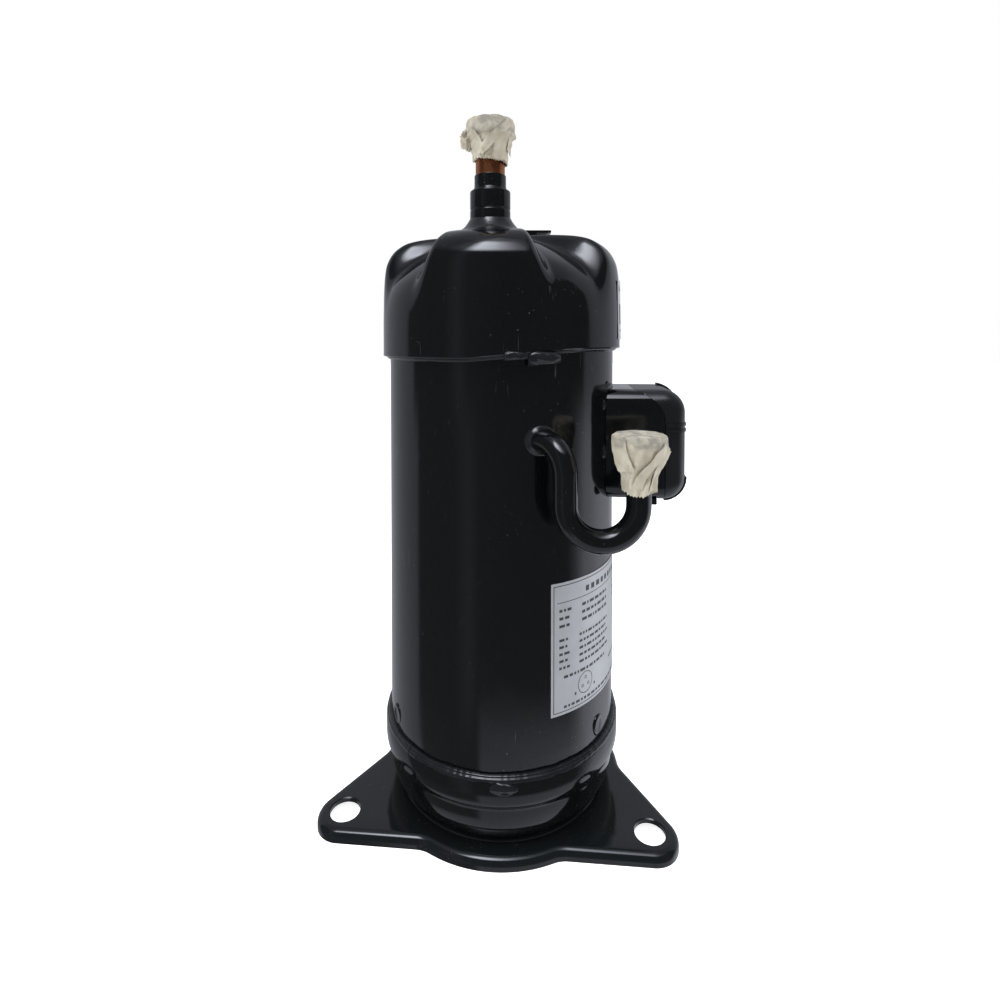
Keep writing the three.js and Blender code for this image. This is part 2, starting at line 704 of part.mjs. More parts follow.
function fixedScroll() {
  const top = SCROLL_FACE + WRAP_HEIGHT + GAP;
  const plate = disc(64.6, top, FIXED_TOP);
  const wall = ring(SCROLL_BORE, 64.6, SCROLL_FACE + GAP, top + 1);
  const wrap = prism(wrapShape(WRAP_TURN), SCROLL_FACE + GAP, top + 1);
  const body = join([plate, wall, wrap]);
  const inlet = post(SUCTION, 0, SUCTION_TUBE_RADIUS + GAP, SUCTION_TUBE_LOW - GAP, 312);
  const suctionWay = post(SUCTION, 0, SUCTION_PORT, top - 0.5, 310);
  const outlet = post({ x: 0, y: 0 }, 0, DISCHARGE_PORT, 280, 310, 16);
  const returns = [30, 150, 200, 340].map((azimuth) =>
    post(polar(BOLT_CIRCLE, azimuth), 0, 2.6, 260, 320, 10));
  const gasWays = [110, 290].map((azimuth) => sector(ringProfile(60, 70, 260, 320),
    azimuth - 9, azimuth + 9, 3));
  return cut(body, [inlet, suctionWay, outlet, ...returns, ...gasWays]);
}

function orbitingScroll() {
  const bottom = SCROLL_FACE - ORBIT_PLATE;
  const plate = disc(ORBIT_PLATE_RADIUS, bottom, SCROLL_FACE);
  const wrap = prism(wrapShape(WRAP_TURN + 180), SCROLL_FACE - 1, SCROLL_FACE + WRAP_HEIGHT);
  const hub = ring(HUB.bore, HUB.outer, HUB.low, bottom + 1, MOTOR_ROUND);
  const reach = OLDHAM.key / 2 + 2 * ORBIT + GAP;
  const keyways = [1, -1].map((side) => {
    const ends = [side * (OLDHAM.inner - 5), side * 60].sort((a, b) => a - b);
    return box([-reach, ends[0], bottom - 1], [reach, ends[1], bottom + 3.6]);
  });
  return cut(join([plate, wrap, hub]), keyways).translate([ORBIT, 0, 0]);
}

// The ring's lower keys slide along X in the frame, and its upper keys guide the scroll along Y.
function oldhamRing() {
  const body = ring(OLDHAM.inner, OLDHAM.outer, OLDHAM.low, OLDHAM.high - 0.6, 32);
  const half = OLDHAM.key / 2;
  const keys = [];
  for (const side of [1, -1]) {
    const ends = [side * (OLDHAM.inner + 0.7), side * (OLDHAM.outer - 0.7)].sort((a, b) => a - b);
    keys.push(box([ends[0], -half, OLDHAM.low - 4], [ends[1], half, OLDHAM.low + 1]));
    keys.push(box([-half, ends[0], OLDHAM.high - 2], [half, ends[1], OLDHAM.high + 3]));
  }
  return join([body, ...keys]);
}

// The iron frame that carries the scrolls, the ring and the shaft's upper bearing.
function mainFrame() {
  const floor = OLDHAM.low - GAP;
  const seat = SCROLL_FACE - ORBIT_PLATE - GAP;
  const body = lathe([[25, seat], [25, HUB.low - GAP - 0.7], [MAIN_BEARING.outer + GAP, HUB.low - 1],
    [MAIN_BEARING.outer + GAP, MAIN_BEARING.low], [24, MAIN_BEARING.low], [27, 222],
    [44, 236], [FRAME_RADIUS, 238], [FRAME_RADIUS, SCROLL_FACE], [FRAME_RECESS, SCROLL_FACE],
    [FRAME_RECESS, floor], [THRUST_RADIUS, floor], [THRUST_RADIUS, seat]]);
  const half = OLDHAM.key / 2 + GAP;
  const keyways = [1, -1].map((side) => {
    const ends = [side * (OLDHAM.inner - 4), side * (OLDHAM.outer + 4)].sort((a, b) => a - b);
    return box([ends[0], -half, floor - 4.6], [ends[1], half, floor + 1]);
  });
  const returns = [30, 150, 200, 340].map((azimuth) =>
    post(polar(BOLT_CIRCLE, azimuth), 0, 2.6, 230, 280, 10));
  const gasWays = [110, 290].map((azimuth) => sector(ringProfile(61, 70, 230, 280),
    azimuth - 9, azimuth + 9, 3));
  return cut(body, [...keyways, ...returns, ...gasWays]);
}

// ---------------------------------------------------------------- shaft and its bearings

function crankshaft() {
  const collar = MAIN_BEARING.high + GAP;
  const journal = disc(SHAFT_RADIUS, 168, collar + 1, MOTOR_ROUND);
  const middle = disc(SHAFT_RADIUS - 0.6, 92, 169, MOTOR_ROUND);
  const lower = disc(LOWER_SHAFT_RADIUS, SHAFT_BOTTOM, 93, MOTOR_ROUND);
  const web = disc(SHAFT_RADIUS + 1.6, collar, HUB.low - 1, MOTOR_ROUND);
  const pin = post({ x: ORBIT, y: 0 }, 0, PIN_OFFSET_RADIUS, HUB.low - 2, 264, MOTOR_ROUND);
  const gallery = post({ x: ORBIT, y: 0 }, 0, 2, SHAFT_BOTTOM - 2, 270, 12);
  return join([journal, middle, lower, web, pin]).subtract(gallery);
}

function driveBush() {
  const bore = PIN_OFFSET_RADIUS + GAP;
  return post({ x: ORBIT, y: 0 }, bore, HUB.bore - GAP, HUB.low - 0.6, 263, MOTOR_ROUND);
}

function mainBearing() {
  const { outer, low, high } = MAIN_BEARING;
  return ring(SHAFT_RADIUS + GAP, outer, low, high - GAP, MOTOR_ROUND);
}

function lowerFrame() {
  const { low, high } = LOWER_FRAME;
  const hub = ring(LOWER_BEARING_OUTER + GAP, 19, low - 8, high, MOTOR_ROUND);
  const rim = ring(58, FRAME_RADIUS, low, high);
  const arms = [30, 150, 270].map((azimuth) => {
    const arm = new THREE.BoxGeometry(46, 14, high - low - 2);
    arm.translate(38, 0, (low + high) / 2).rotateZ(radians(azimuth));
    return solidOf(arm);
  });
  return join([hub, rim, ...arms]);
}

function lowerBearing() {
  const { low, high } = LOWER_FRAME;
  return ring(LOWER_SHAFT_RADIUS + GAP, LOWER_BEARING_OUTER, low - 8, high, MOTOR_ROUND);
}

// A tapered pickup on the shaft's end, which throws oil up the shaft's gallery.
function oilPickup() {
  return lathe([[1.8, PICKUP_BOTTOM], [3, PICKUP_BOTTOM], [7.6, SHAFT_BOTTOM - 6],
    [7.6, SHAFT_BOTTOM - GAP], [5.8, SHAFT_BOTTOM - GAP], [5.8, SHAFT_BOTTOM - 5.4]], 20);
}

function oilStrainer() {
  return ring(12, 13.2, 6, 30, 20);
}

// ---------------------------------------------------------------- motor

// The stator's laminated core: teeth inside, and cuts outside for oil and gas.
function statorCore() {
  const core = ring(STATOR.bore, FRAME_RADIUS, STATOR.low, STATOR.high);
  const cuts = [];
  for (let i = 0; i < STATOR.slots; i += 1) {
    const azimuth = (360 * i) / STATOR.slots;
    const slot = new THREE.BoxGeometry(19, 4.6, 100);
    slot.translate(36 + 9.5, 0, (STATOR.low + STATOR.high) / 2).rotateZ(radians(azimuth));
    cuts.push(solidOf(slot));
  }
  for (let i = 0; i < 6; i += 1) {
    cuts.push(sector(ringProfile(63.4, 70, 60, 200), 60 * i - 9, 60 * i + 9, 3));
  }
  return cut(core, cuts);
}

// One winding's overhang: a bundled ring of wire beyond the core.
function windingEnd(face, direction) {
  const near = face + direction * GAP;
  const far = near + direction * WINDING.drop;
  const bulge = near + direction * WINDING.drop * 0.75;
  const profile = [[WINDING.inner + 2, near], [WINDING.outer - 5, near], [WINDING.outer, bulge],
    [WINDING.outer - 4, far], [WINDING.inner + 5, far], [WINDING.inner, bulge]];
  return lathe(profile, MOTOR_ROUND);
}

function rotorCore() {
  return ring(SHAFT_RADIUS - 0.6 + GAP, ROTOR_RADIUS, STATOR.low, STATOR.high, MOTOR_ROUND);
}

function rotorEndRing(face, direction) {
  const near = face + direction * GAP;
  const heights = [near, near + direction * 6].sort((a, b) => a - b);
  return ring(19, ROTOR_RADIUS - 1, ...heights, MOTOR_ROUND);
}

// Half rings that balance the orbiting scroll, opposite the crank pin above and on its side below.
function balanceWeight(azimuth, low, high) {
  return sector(ringProfile(19.5, ROTOR_RADIUS - 1.5, low, high), azimuth - 80, azimuth + 80, 12);
}

// ---------------------------------------------------------------- valves and fasteners

const VALVE_FACE = FIXED_TOP + GAP;
const REED_ROOT = 26;            // the valve's clamping screw, from the port's centre
const REED_RELIEF = 1.2;         // room under the reed's clamped end for its small swing

// A round tip over the port, a narrow neck and a round clamped end.
function reedOutline() {
  const shape = new THREE.Shape();
  shape.absarc(0, 0, 7, -2.55, 2.55, false);
  shape.absarc(-REED_ROOT, 0, 4.4, 0.9, 2 * Math.PI - 0.9, false);
  return shape;
}

const valveBolt = (inner, outer, low, high) =>
  post({ x: -REED_ROOT, y: 0 }, inner, outer, low, high, 14);

function valveReed() {
  return prism(reedOutline(), VALVE_FACE, VALVE_FACE + 0.5)
    .subtract(valveBolt(0, 2.6, 300, 312));
}

// The stop holds the reed's lift: its foot clamps the reed and its arm leans upwards.
function valveStop() {
  const profile = new THREE.Shape();
  const foot = VALVE_FACE + 0.5 + GAP;
  profile.moveTo(-REED_ROOT - 6, foot);
  profile.lineTo(-REED_ROOT + 6, foot);
  profile.lineTo(6, foot + 4.2);
  profile.lineTo(6, foot + 6.2);
  profile.lineTo(-REED_ROOT + 6, foot + 2);
  profile.lineTo(-REED_ROOT - 6, foot + 2);
  const arm = new THREE.ExtrudeGeometry(profile, { depth: 9, bevelEnabled: false });
  return solidOf(arm.rotateX(Math.PI / 2).translate(0, 4.5, 0))
    .subtract(valveBolt(0, 2.6, 300, 320));
}

function valveScrew() {
  const head = VALVE_FACE + 2.5 + 2 * GAP;
  return valveBolt(0, 2.3, VALVE_FACE - 6, head + 1).add(valveBolt(0, 4.4, head, head + 3.2));
}

// The suction check valve's disc shuts the tube's end when the compressor stops.
function checkValve() {
  return post(SUCTION, 0, SUCTION_PORT - 0.4, SUCTION_TUBE_LOW - 2.3, SUCTION_TUBE_LOW - GAP);
}

function frameBolt(azimuth) {
  const place = polar(BOLT_CIRCLE, azimuth);
  const head = post(place, 0, 4, FIXED_TOP + GAP, FIXED_TOP + 3.6, 6);
  return head.add(post(place, 0, BOLT_RADIUS, 262, FIXED_TOP + 1, 10));
}

const BOLT_AZIMUTHS = [60, 175, 310, 5];

// ---------------------------------------------------------------- assembly

const boltHoles = BOLT_AZIMUTHS.map((azimuth) =>
  post(polar(BOLT_CIRCLE, azimuth), 0, BOLT_RADIUS + GAP + 0.1, 250, 320, 10));
const screwHole = valveBolt(0, 2.7, 290, 330);
const reedRelief = post({ x: -REED_ROOT, y: 0 }, 0, 6, FIXED_TOP - REED_RELIEF, 310);

addPart('shell_body', shellBody(), BLACK_PAINT);
addPart('top_cap', topCap(), BLACK_PAINT);
addPart('bottom_cap', bottomCap(), BLACK_PAINT);
addPart('top_weld_bead', weldBead(TOP_CAP_RIM, -1), BLACK_PAINT);
addPart('bottom_weld_bead', weldBead(BOTTOM_CAP_RIM, 1), BLACK_PAINT);
addPart('foot_plate', footPlate(), BLACK_PAINT);

addPart('suction_collar', suctionCollar(), BLACK_PAINT);
addPart('suction_tube', suctionTube(), COPPER);
addPart('suction_plug', suctionPlug(), RUBBER);
addPart('suction_tape', suctionTape(), TAPE);
addPart('discharge_tube', dischargeTube(), BLACK_PAINT);
addPart('discharge_plug', dischargePlug(), RUBBER);
addPart('discharge_tape', dischargeTape(), TAPE);

addPart('terminal_housing', terminalHousing(), BLACK_PAINT, terminalSide);
addPart('terminal_cover', terminalCover(), BLACK_PLASTIC, terminalSide);
addPart('hermetic_terminal', hermeticTerminal(), STEEL, terminalSide);
addPart('terminal_insulator', terminalInsulator(), RUBBER, terminalSide);
pinPlaces().forEach((place, i) => {
  addPart(`glass_seal_${i + 1}`, glassSeal(place), GLASS, terminalSide);
  addPart(`terminal_pin_${i + 1}`, terminalPin(place), STEEL, terminalSide);
});

addPart('nameplate', nameplate(), LABEL);
addPart('cap_label', capLabel(), WHITE_LABEL);
addPart('cap_bracket', capBracket(), BLACK_PAINT);

addPart('fixed_scroll', cut(fixedScroll(), [...boltHoles, screwHole, reedRelief]), IRON);
addPart('orbiting_scroll', orbitingScroll(), IRON);
addPart('oldham_ring', oldhamRing(), STEEL);
addPart('main_frame', cut(mainFrame(), boltHoles), IRON);
addPart('main_bearing', mainBearing(), BRONZE);
addPart('crankshaft', crankshaft(), STEEL);
addPart('drive_bush', driveBush(), BRONZE);
addPart('lower_frame', lowerFrame(), IRON);
addPart('lower_bearing', lowerBearing(), BRONZE);
addPart('oil_pickup', oilPickup(), STEEL);
addPart('oil_strainer', oilStrainer(), STEEL);

addPart('stator_core', statorCore(), LAMINATION);
addPart('winding_upper', windingEnd(STATOR.high, 1), WIRE);
addPart('winding_lower', windingEnd(STATOR.low, -1), WIRE);
addPart('rotor_core', rotorCore(), LAMINATION);
addPart('rotor_end_ring_upper', rotorEndRing(STATOR.high, 1), ALUMINIUM);
addPart('rotor_end_ring_lower', rotorEndRing(STATOR.low, -1), ALUMINIUM);
addPart('balance_weight_upper', balanceWeight(180, STATOR.high + 6.6, STATOR.high + 20), BRONZE);
addPart('balance_weight_lower', balanceWeight(0, STATOR.low - 14, STATOR.low - 6.6), BRONZE);

addPart('valve_reed', valveReed(), STEEL);
addPart('valve_stop', valveStop(), STEEL);
addPart('valve_screw', valveScrew(), STEEL);
addPart('check_valve', checkValve(), STEEL);
BOLT_AZIMUTHS.forEach((azimuth, i) => {
  addPart(`frame_bolt_${i + 1}`, frameBolt(azimuth), STEEL);
});

export default compressor;
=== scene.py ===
"""The looks of a hermetic scroll compressor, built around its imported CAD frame.

Lengths inside the script are millimetres in the frame's axes, and MM turns them into metres.
Angles are degrees from +X towards +Y. Everything sits where the frame's own boxes say.
"""

import json
import math
import random

import bmesh
import bpy
from mathutils import Matrix, Vector, noise


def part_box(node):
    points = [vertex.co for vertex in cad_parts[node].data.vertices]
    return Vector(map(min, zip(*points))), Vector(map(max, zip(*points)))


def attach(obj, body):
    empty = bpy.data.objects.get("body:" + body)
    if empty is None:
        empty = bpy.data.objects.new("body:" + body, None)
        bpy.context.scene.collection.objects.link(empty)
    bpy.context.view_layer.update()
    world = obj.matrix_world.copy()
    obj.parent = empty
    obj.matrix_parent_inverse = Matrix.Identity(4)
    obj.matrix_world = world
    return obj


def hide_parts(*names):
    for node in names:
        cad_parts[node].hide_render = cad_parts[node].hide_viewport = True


MM = 0.001
BODY = "shell"

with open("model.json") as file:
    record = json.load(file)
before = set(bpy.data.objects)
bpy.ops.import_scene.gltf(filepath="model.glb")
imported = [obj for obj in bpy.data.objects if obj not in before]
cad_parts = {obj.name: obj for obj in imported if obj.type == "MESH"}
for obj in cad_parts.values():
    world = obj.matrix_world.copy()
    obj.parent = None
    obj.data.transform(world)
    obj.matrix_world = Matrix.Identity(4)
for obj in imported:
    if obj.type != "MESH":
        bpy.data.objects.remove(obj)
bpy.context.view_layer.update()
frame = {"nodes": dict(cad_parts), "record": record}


def extent(node):
    """A CAD node's lowest and highest corners, in millimetres."""
    low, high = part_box(node)
    return low / MM, high / MM


# ---- places, read from the frame

shell_low, shell_high = extent("shell_body")
SHELL_RADIUS = shell_high.x
SHELL_BORE = SHELL_RADIUS - 4
cap_low, cap_high = extent("top_cap")
CAP_RADIUS = cap_high.x
CAP_RIM = cap_low.z
_, base_high = extent("bottom_cap")
BASE_RADIUS = base_high.x
BASE_RIM = base_high.z
_, foot_high = extent("foot_plate")
FOOT_HEIGHT = foot_high.z

collar_low, collar_high = extent("suction_collar")
SUCTION = (collar_low + collar_high) / 2
COLLAR_RADIUS = 11.6
suction_low, suction_high = extent("suction_tube")
SUCTION_RADIUS = (suction_high.x - suction_low.x) / 2
suction_tape_low, suction_tape_high = extent("suction_tape")

tube_low, _ = extent("discharge_tube")
TUBE_RADIUS = 6.35
discharge_tape_low, discharge_tape_high = extent("discharge_tape")
DISCHARGE = (discharge_tape_low + discharge_tape_high) / 2

BOX_AZIMUTH = -7
_, housing_high = extent("terminal_housing")
BOX_TOP = housing_high.z
BOX_LOW = BOX_TOP - 64.5
BOX_HALF = 28
BOX_INNER = 50
BOX_OUTER = 110.5
BOX_WALL = 2
BOX_CORNER = 13
BOX_EDGE = 9
BOX_SEAM = 98
BOX_SEAM_TOP = 81
TERMINAL_Z = BOX_TOP - 32.5
TERMINAL_RADIUS = 17.9

SUCTION_HEAD = suction_tape_high.z - 9.2
SUCTION_PLUG_RADIUS = 13.35
DISCHARGE_HEAD = discharge_tape_high.z - 6.5
DISCHARGE_PLUG_RADIUS = 12.35
TAPE_GAP = 0.35

plate_low, plate_high = extent("nameplate")
label_low, label_high = extent("cap_label")
bracket_low, bracket_high = extent("cap_bracket")

FOOT_AZIMUTHS = (205, 325, 85)
FOOT_HOLE_CIRCLE = 99.7
FOOT_HOLE_RADIUS = 8.5
FOOT_CORNER = 15.45
FOOT_BORE = 61.8
LOBE_AZIMUTH = 260
PLUG_WELD_Z = 56.8


# ---- curves and meshes

def polar(radius, azimuth, z=0.0):
    angle = math.radians(azimuth)
    return Vector((radius * math.cos(angle), radius * math.sin(angle), z))


def smoothstep(value, low, high):
    share = min(1.0, max(0.0, (value - low) / (high - low)))
    return share * share * (3 - 2 * share)


def lerp(a, b, share):
    return a + (b - a) * share


def arc(centre, radius, start, end, steps):
    """Points (x, y) along an arc."""
    points = []
    for i in range(steps + 1):
        angle = math.radians(lerp(start, end, i / steps))
        points.append((centre[0] + radius * math.cos(angle), centre[1] + radius * math.sin(angle)))
    return points


def rounded(corners, steps=4, closed=True):
    """A polygon of (x, y, fillet) corners with each corner rounded to its fillet."""
    points = []
    count = len(corners)
    for i, (x, y, fillet) in enumerate(corners):
        here = Vector((x, y))
        ends = not closed and i in (0, count - 1)
        if fillet == 0 or ends:
            points.append((x, y))
            continue
        before = Vector(corners[i - 1][:2])
        after = Vector(corners[(i + 1) % count][:2])
        start = here + (before - here).normalized() * fillet
        end = here + (after - here).normalized() * fillet
        for k in range(steps + 1):
            t = k / steps
            spot = start * (1 - t) ** 2 + here * 2 * t * (1 - t) + end * t * t
            points.append((spot.x, spot.y))
    return points


def spline(points, steps):
    """A smooth curve through (x, y) points."""
    spots = [Vector(p) for p in points]
    path = []
    for i in range(len(spots) - 1):
        before = spots[max(i - 1, 0)]
        after = spots[min(i + 2, len(spots) - 1)]
        for k in range(steps):
            t = k / steps
            a, b = spots[i], spots[i + 1]
            slope_a, slope_b = (b - before) / 2, (after - a) / 2
            h = (2 * t**3 - 3 * t**2 + 1, t**3 - 2 * t**2 + t, 3 * t**2 - 2 * t**3, t**3 - t**2)
            path.append(tuple(a * h[0] + slope_a * h[1] + b * h[2] + slope_b * h[3]))
    path.append(tuple(spots[-1]))
    return path


def finish_mesh(mesh, sharp):
    work = bmesh.new()
    work.from_mesh(mesh)
    bmesh.ops.remove_doubles(work, verts=work.verts, dist=1e-7)
    bmesh.ops.dissolve_degenerate(work, edges=work.edges, dist=1e-8)
    bmesh.ops.recalc_face_normals(work, faces=work.faces)
    work.to_mesh(mesh)
    work.free()
    mesh.polygons.foreach_set("use_smooth", [True] * len(mesh.polygons))
    mesh.set_sharp_from_angle(angle=math.radians(sharp))
    mesh.update()


def solid(name, points, faces, sharp=35):
    """A mesh object from millimetre points."""
    mesh = bpy.data.meshes.new(name)
    mesh.from_pydata([Vector(p) * MM for p in points], [], faces)
    finish_mesh(mesh, sharp)
    obj = bpy.data.objects.new(name, mesh)
    bpy.context.scene.collection.objects.link(obj)
    return obj


def skin(name, rings, closed=False, sharp=35):
    """A closed surface through equal rings of points, capped at both ends unless closed."""
    count = len(rings[0])
    faces = []
    for i in range(len(rings) if closed else len(rings) - 1):
        here, there = i * count, (i + 1) % len(rings) * count
        for j in range(count):
            k = (j + 1) % count
            faces.append((here + j, here + k, there + k, there + j))
    if not closed:
        faces.append(tuple(reversed(range(count))))
        faces.append(tuple(range((len(rings) - 1) * count, len(rings) * count)))
    return solid(name, [p for ring in rings for p in ring], faces, sharp)


def lathe(name, profile, centre=(0, 0), segments=96, sharp=35):
    """A closed (radius, height) profile turned about an upright axis."""
    base = Vector((centre[0], centre[1], 0))
    rings = []
    for i in range(segments):
        azimuth = 360 * i / segments
        rings.append([base + polar(r, azimuth, z) for r, z in profile])
    return skin(name, rings, closed=True, sharp=sharp)


def spindle(name, profile, segments):
    """A closed (radius, x) profile turned about the terminal's axis."""
    rings = []
    for i in range(segments):
        angle = 2 * math.pi * i / segments
        y, z = math.cos(angle), math.sin(angle)
        rings.append([(x, r * y, TERMINAL_Z + r * z) for r, x in profile])
    return turn_to_box(skin(name, rings, closed=True))


def turn_to_box(obj):
    """Turns a piece made in the terminal box's own axes to the box's azimuth."""
    obj.data.transform(Matrix.Rotation(math.radians(BOX_AZIMUTH), 4, "Z"))
    return obj


def bent_path(corners, radii, step=1.6):
    """Points along straight runs whose corners are rounded to the given radii."""
    path = [corners[0]]
    for corner, before, after, radius in zip(corners[1:-1], corners, corners[2:], radii):
        back = (before - corner).normalized()
        ahead = (after - corner).normalized()
        half = back.angle(ahead) / 2
        reach = radius / math.tan(half)
        centre = corner + (back + ahead).normalized() * radius / math.sin(half)
        start = corner + back * reach - centre
        end = corner + ahead * reach - centre
        turn = start.angle(end)
        steps = max(4, round(radius * turn / step))
        for k in range(steps + 1):
            share = k / steps
            spot = start * math.sin((1 - share) * turn) + end * math.sin(share * turn)
            path.append(centre + spot / math.sin(turn))
    path.append(corners[-1])
    return [p for i, p in enumerate(path) if i == 0 or (p - path[i - 1]).length > 0.05]


def path_frames(path):
    """A point, a side vector and an up vector at each point of a path, without twist."""
    frames = []
    side = None
    for i, point in enumerate(path):
        ahead = (path[min(i + 1, len(path) - 1)] - path[max(i - 1, 0)]).normalized()
        if side is None:
            side = ahead.orthogonal().normalized()
        side = (side - ahead * side.dot(ahead)).normalized()
        frames.append((point, side, ahead.cross(side)))
    return frames


def pipe(name, path, radius, bore=0.0, sides=40):
    """A round bar or, with a bore, a tube open at both ends."""
    frames = path_frames(path)

    def ring(index, r):
        point, side, up = frames[index]
        turns = [2 * math.pi * k / sides for k in range(sides)]
        return [point + (side * math.cos(angle) + up * math.sin(angle)) * r for angle in turns]

    rings = [ring(i, radius) for i in range(len(path))]
    if bore:
        rings += [ring(i, bore) for i in reversed(range(len(path)))]
    return skin(name, rings, closed=bool(bore))


def carve(obj, tools, operation="DIFFERENCE"):
    """Cuts or joins with other closed meshes, which are used up."""
    for tool in tools:
        change = obj.modifiers.new("carve", "BOOLEAN")
        change.operation = operation
        change.solver = "EXACT"
        change.object = tool
    graph = bpy.context.evaluated_depsgraph_get()
    done = bpy.data.meshes.new_from_object(obj.evaluated_get(graph))
    obj.modifiers.clear()
    obj.data = done
    finish_mesh(done, 35)
    for tool in tools:
        bpy.data.objects.remove(tool)
    return obj


def place(obj, material, body=BODY, replaces=()):
    """Gives a finished piece its material, its body and the CAD nodes that it stands for."""
    obj.data.materials.clear()
    obj.data.materials.append(material)
    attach(obj, body)
    if replaces:
        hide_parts(*replaces)
    return obj


# ---- materials

class Graph:
    """A short way to write a node tree."""

    def __init__(self, tree):
        self.tree = tree

    def add(self, kind, **settings):
        node = self.tree.nodes.new("ShaderNode" + kind)
        for key, value in settings.items():
            if hasattr(node, key):
                setattr(node, key, value)
            else:
                node.inputs[key.replace("_", " ")].default_value = value
        return node

    def link(self, source, target, socket):
        self.tree.links.new(source, target.inputs[socket])

    def place(self):
        return self.add("TexCoord").outputs["Object"]

    def stretched(self, scale):
        mapping = self.add("Mapping")
        mapping.inputs["Scale"].default_value = scale
        self.link(self.place(), mapping, "Vector")
        return mapping.outputs["Vector"]

    def noise(self, scale, detail=2.0, vector=None, roughness=0.5):
        node = self.add("TexNoise", Scale=scale, Detail=detail, Roughness=roughness)
        self.link(vector or self.place(), node, "Vector")
        return node.outputs["Fac"]

    def spots(self, scale, size, vector=None):
        """Small round spots: 1 on a spot, 0 elsewhere."""
        node = self.add("TexVoronoi", Scale=scale)
        self.link(vector or self.place(), node, "Vector")
        return self.ramp(node.outputs["Distance"], [(size * 0.6, 1), (size, 0)])

    def near_axis(self, inside, outside):
        """1 within one distance of the shell's axis, 0 beyond the other."""
        node = self.add("VectorMath", operation="MULTIPLY")
        self.link(self.place(), node, 0)
        node.inputs[1].default_value = (1, 1, 0)
        reach = self.add("VectorMath", operation="LENGTH")
        self.link(node.outputs["Vector"], reach, 0)
        return self.map(reach.outputs["Value"], From_Min=inside, From_Max=outside, To_Min=1,
                        To_Max=0)

    def map(self, source, **settings):
        node = self.add("MapRange", **settings)
        self.link(source, node, "Value")
        return node.outputs["Result"]

    def ramp(self, source, stops):
        """Maps a number through (position, value) stops; a value may be a colour."""
        node = self.add("ValToRGB")
        marks = node.color_ramp.elements
        while len(marks) < len(stops):
            marks.new(0.5)
        for mark, (position, value) in zip(marks, stops):
            mark.position = position
            mark.color = (*value, 1) if isinstance(value, tuple) else (value, value, value, 1)
        self.link(source, node, "Fac")
        return node.outputs["Color"]

    def times(self, a, b):
        node = self.add("Math", operation="MULTIPLY")
        self.link(a, node, 0)
        self.number(b, node, 1)
        return node.outputs[0]

    def plus(self, a, b):
        node = self.add("Math", operation="ADD")
        self.link(a, node, 0)
        self.number(b, node, 1)
        return node.outputs[0]

    def number(self, value, node, socket):
        if isinstance(value, (int, float)):
            node.inputs[socket].default_value = value
        else:
            self.link(value, node, socket)

    def mix(self, share, a, b):
        node = self.add("Mix", data_type="RGBA")
        self.link(share, node, 0)
        for value, socket in ((a, 6), (b, 7)):
            if isinstance(value, tuple):
                node.inputs[socket].default_value = (*value, 1)
            else:
                self.link(value, node, socket)
        return node.outputs[2]

    def bump(self, height, strength, distance=0.0005, before=None):
        node = self.add("Bump", Strength=strength, Distance=distance)
        self.link(height, node, "Height")
        if before is not None:
            self.link(before, node, "Normal")
        return node.outputs["Normal"]


class Nodes(Graph):
    """A named material's node tree."""

    def __init__(self, name):
        self.material = bpy.data.materials.new(name)
        self.material.use_nodes = True
        super().__init__(self.material.node_tree)
        self.shader = self.tree.nodes["Principled BSDF"]

    def set(self, **values):
        for key, value in values.items():
            socket = self.shader.inputs[key.replace("_", " ")]
            if isinstance(value, bpy.types.NodeSocket):
                self.tree.links.new(value, socket)
            else:
                socket.default_value = value
        return self.material


def black_paint(name="black_enamel", dust=0.0):
    """Gloss black enamel over steel: faint orange peel, fine scratches and settled dust."""
    n = Nodes(name)
    peel = n.bump(n.noise(420, 2), 0.03, 0.0004)
    waves = n.bump(n.noise(22, 1), 0.06, 0.0008, before=peel)
    scratch_area = n.ramp(n.noise(26, 3), [(0.56, 0), (0.68, 1)])
    hairs = n.ramp(n.noise(900, 1, n.stretched((1, 1, 0.06))), [(0.70, 0), (0.76, 1)])
    specks = n.spots(330 + dust * 500, 0.07 + dust * 0.07)
    patches = n.ramp(n.noise(48 + dust * 60, 4), [(0.50, 0), (0.66, 1)])
    if dust:
        patches = n.times(patches, n.near_axis(0.072, 0.094))
    dirt = n.plus(n.times(n.times(scratch_area, hairs), 0.16),
                  n.times(n.times(specks, patches), 1 - 0.45 * dust))
    enamel = (0.0035 + 0.0035 * dust, 0.0038 + 0.0048 * dust, 0.0046 + 0.0050 * dust)
    colour = n.mix(dirt, enamel, (0.30, 0.30, 0.31))
    gloss = n.plus(n.ramp(n.noise(60, 5), [(0.3, 0.07), (0.7, 0.13)]), n.times(dirt, 0.4))
    return n.set(Base_Color=colour, Roughness=gloss, Normal=waves)


def weld_metal():
    """Black paint over weld metal that has flowed smooth."""
    n = Nodes("painted_weld")
    lumps = n.bump(n.noise(170, 2), 0.22, 0.0008)
    colour = n.mix(n.noise(90, 3), (0.005, 0.006, 0.008), (0.016, 0.016, 0.018))
    gloss = n.ramp(n.noise(120, 3), [(0.3, 0.10), (0.7, 0.20)])
    return n.set(Base_Color=colour, Roughness=gloss, Normal=lumps)


def black_plastic():
    """Moulded black plastic with a fine spark-eroded texture."""
    n = Nodes("moulded_plastic")
    grain = n.bump(n.noise(1500, 3), 0.12, 0.0003)
    colour = n.mix(n.noise(40, 4), (0.006, 0.006, 0.008), (0.012, 0.012, 0.014))
    gloss = n.ramp(n.noise(70, 4), [(0.3, 0.26), (0.7, 0.36)])
    return n.set(Base_Color=colour, Roughness=gloss, Normal=grain)


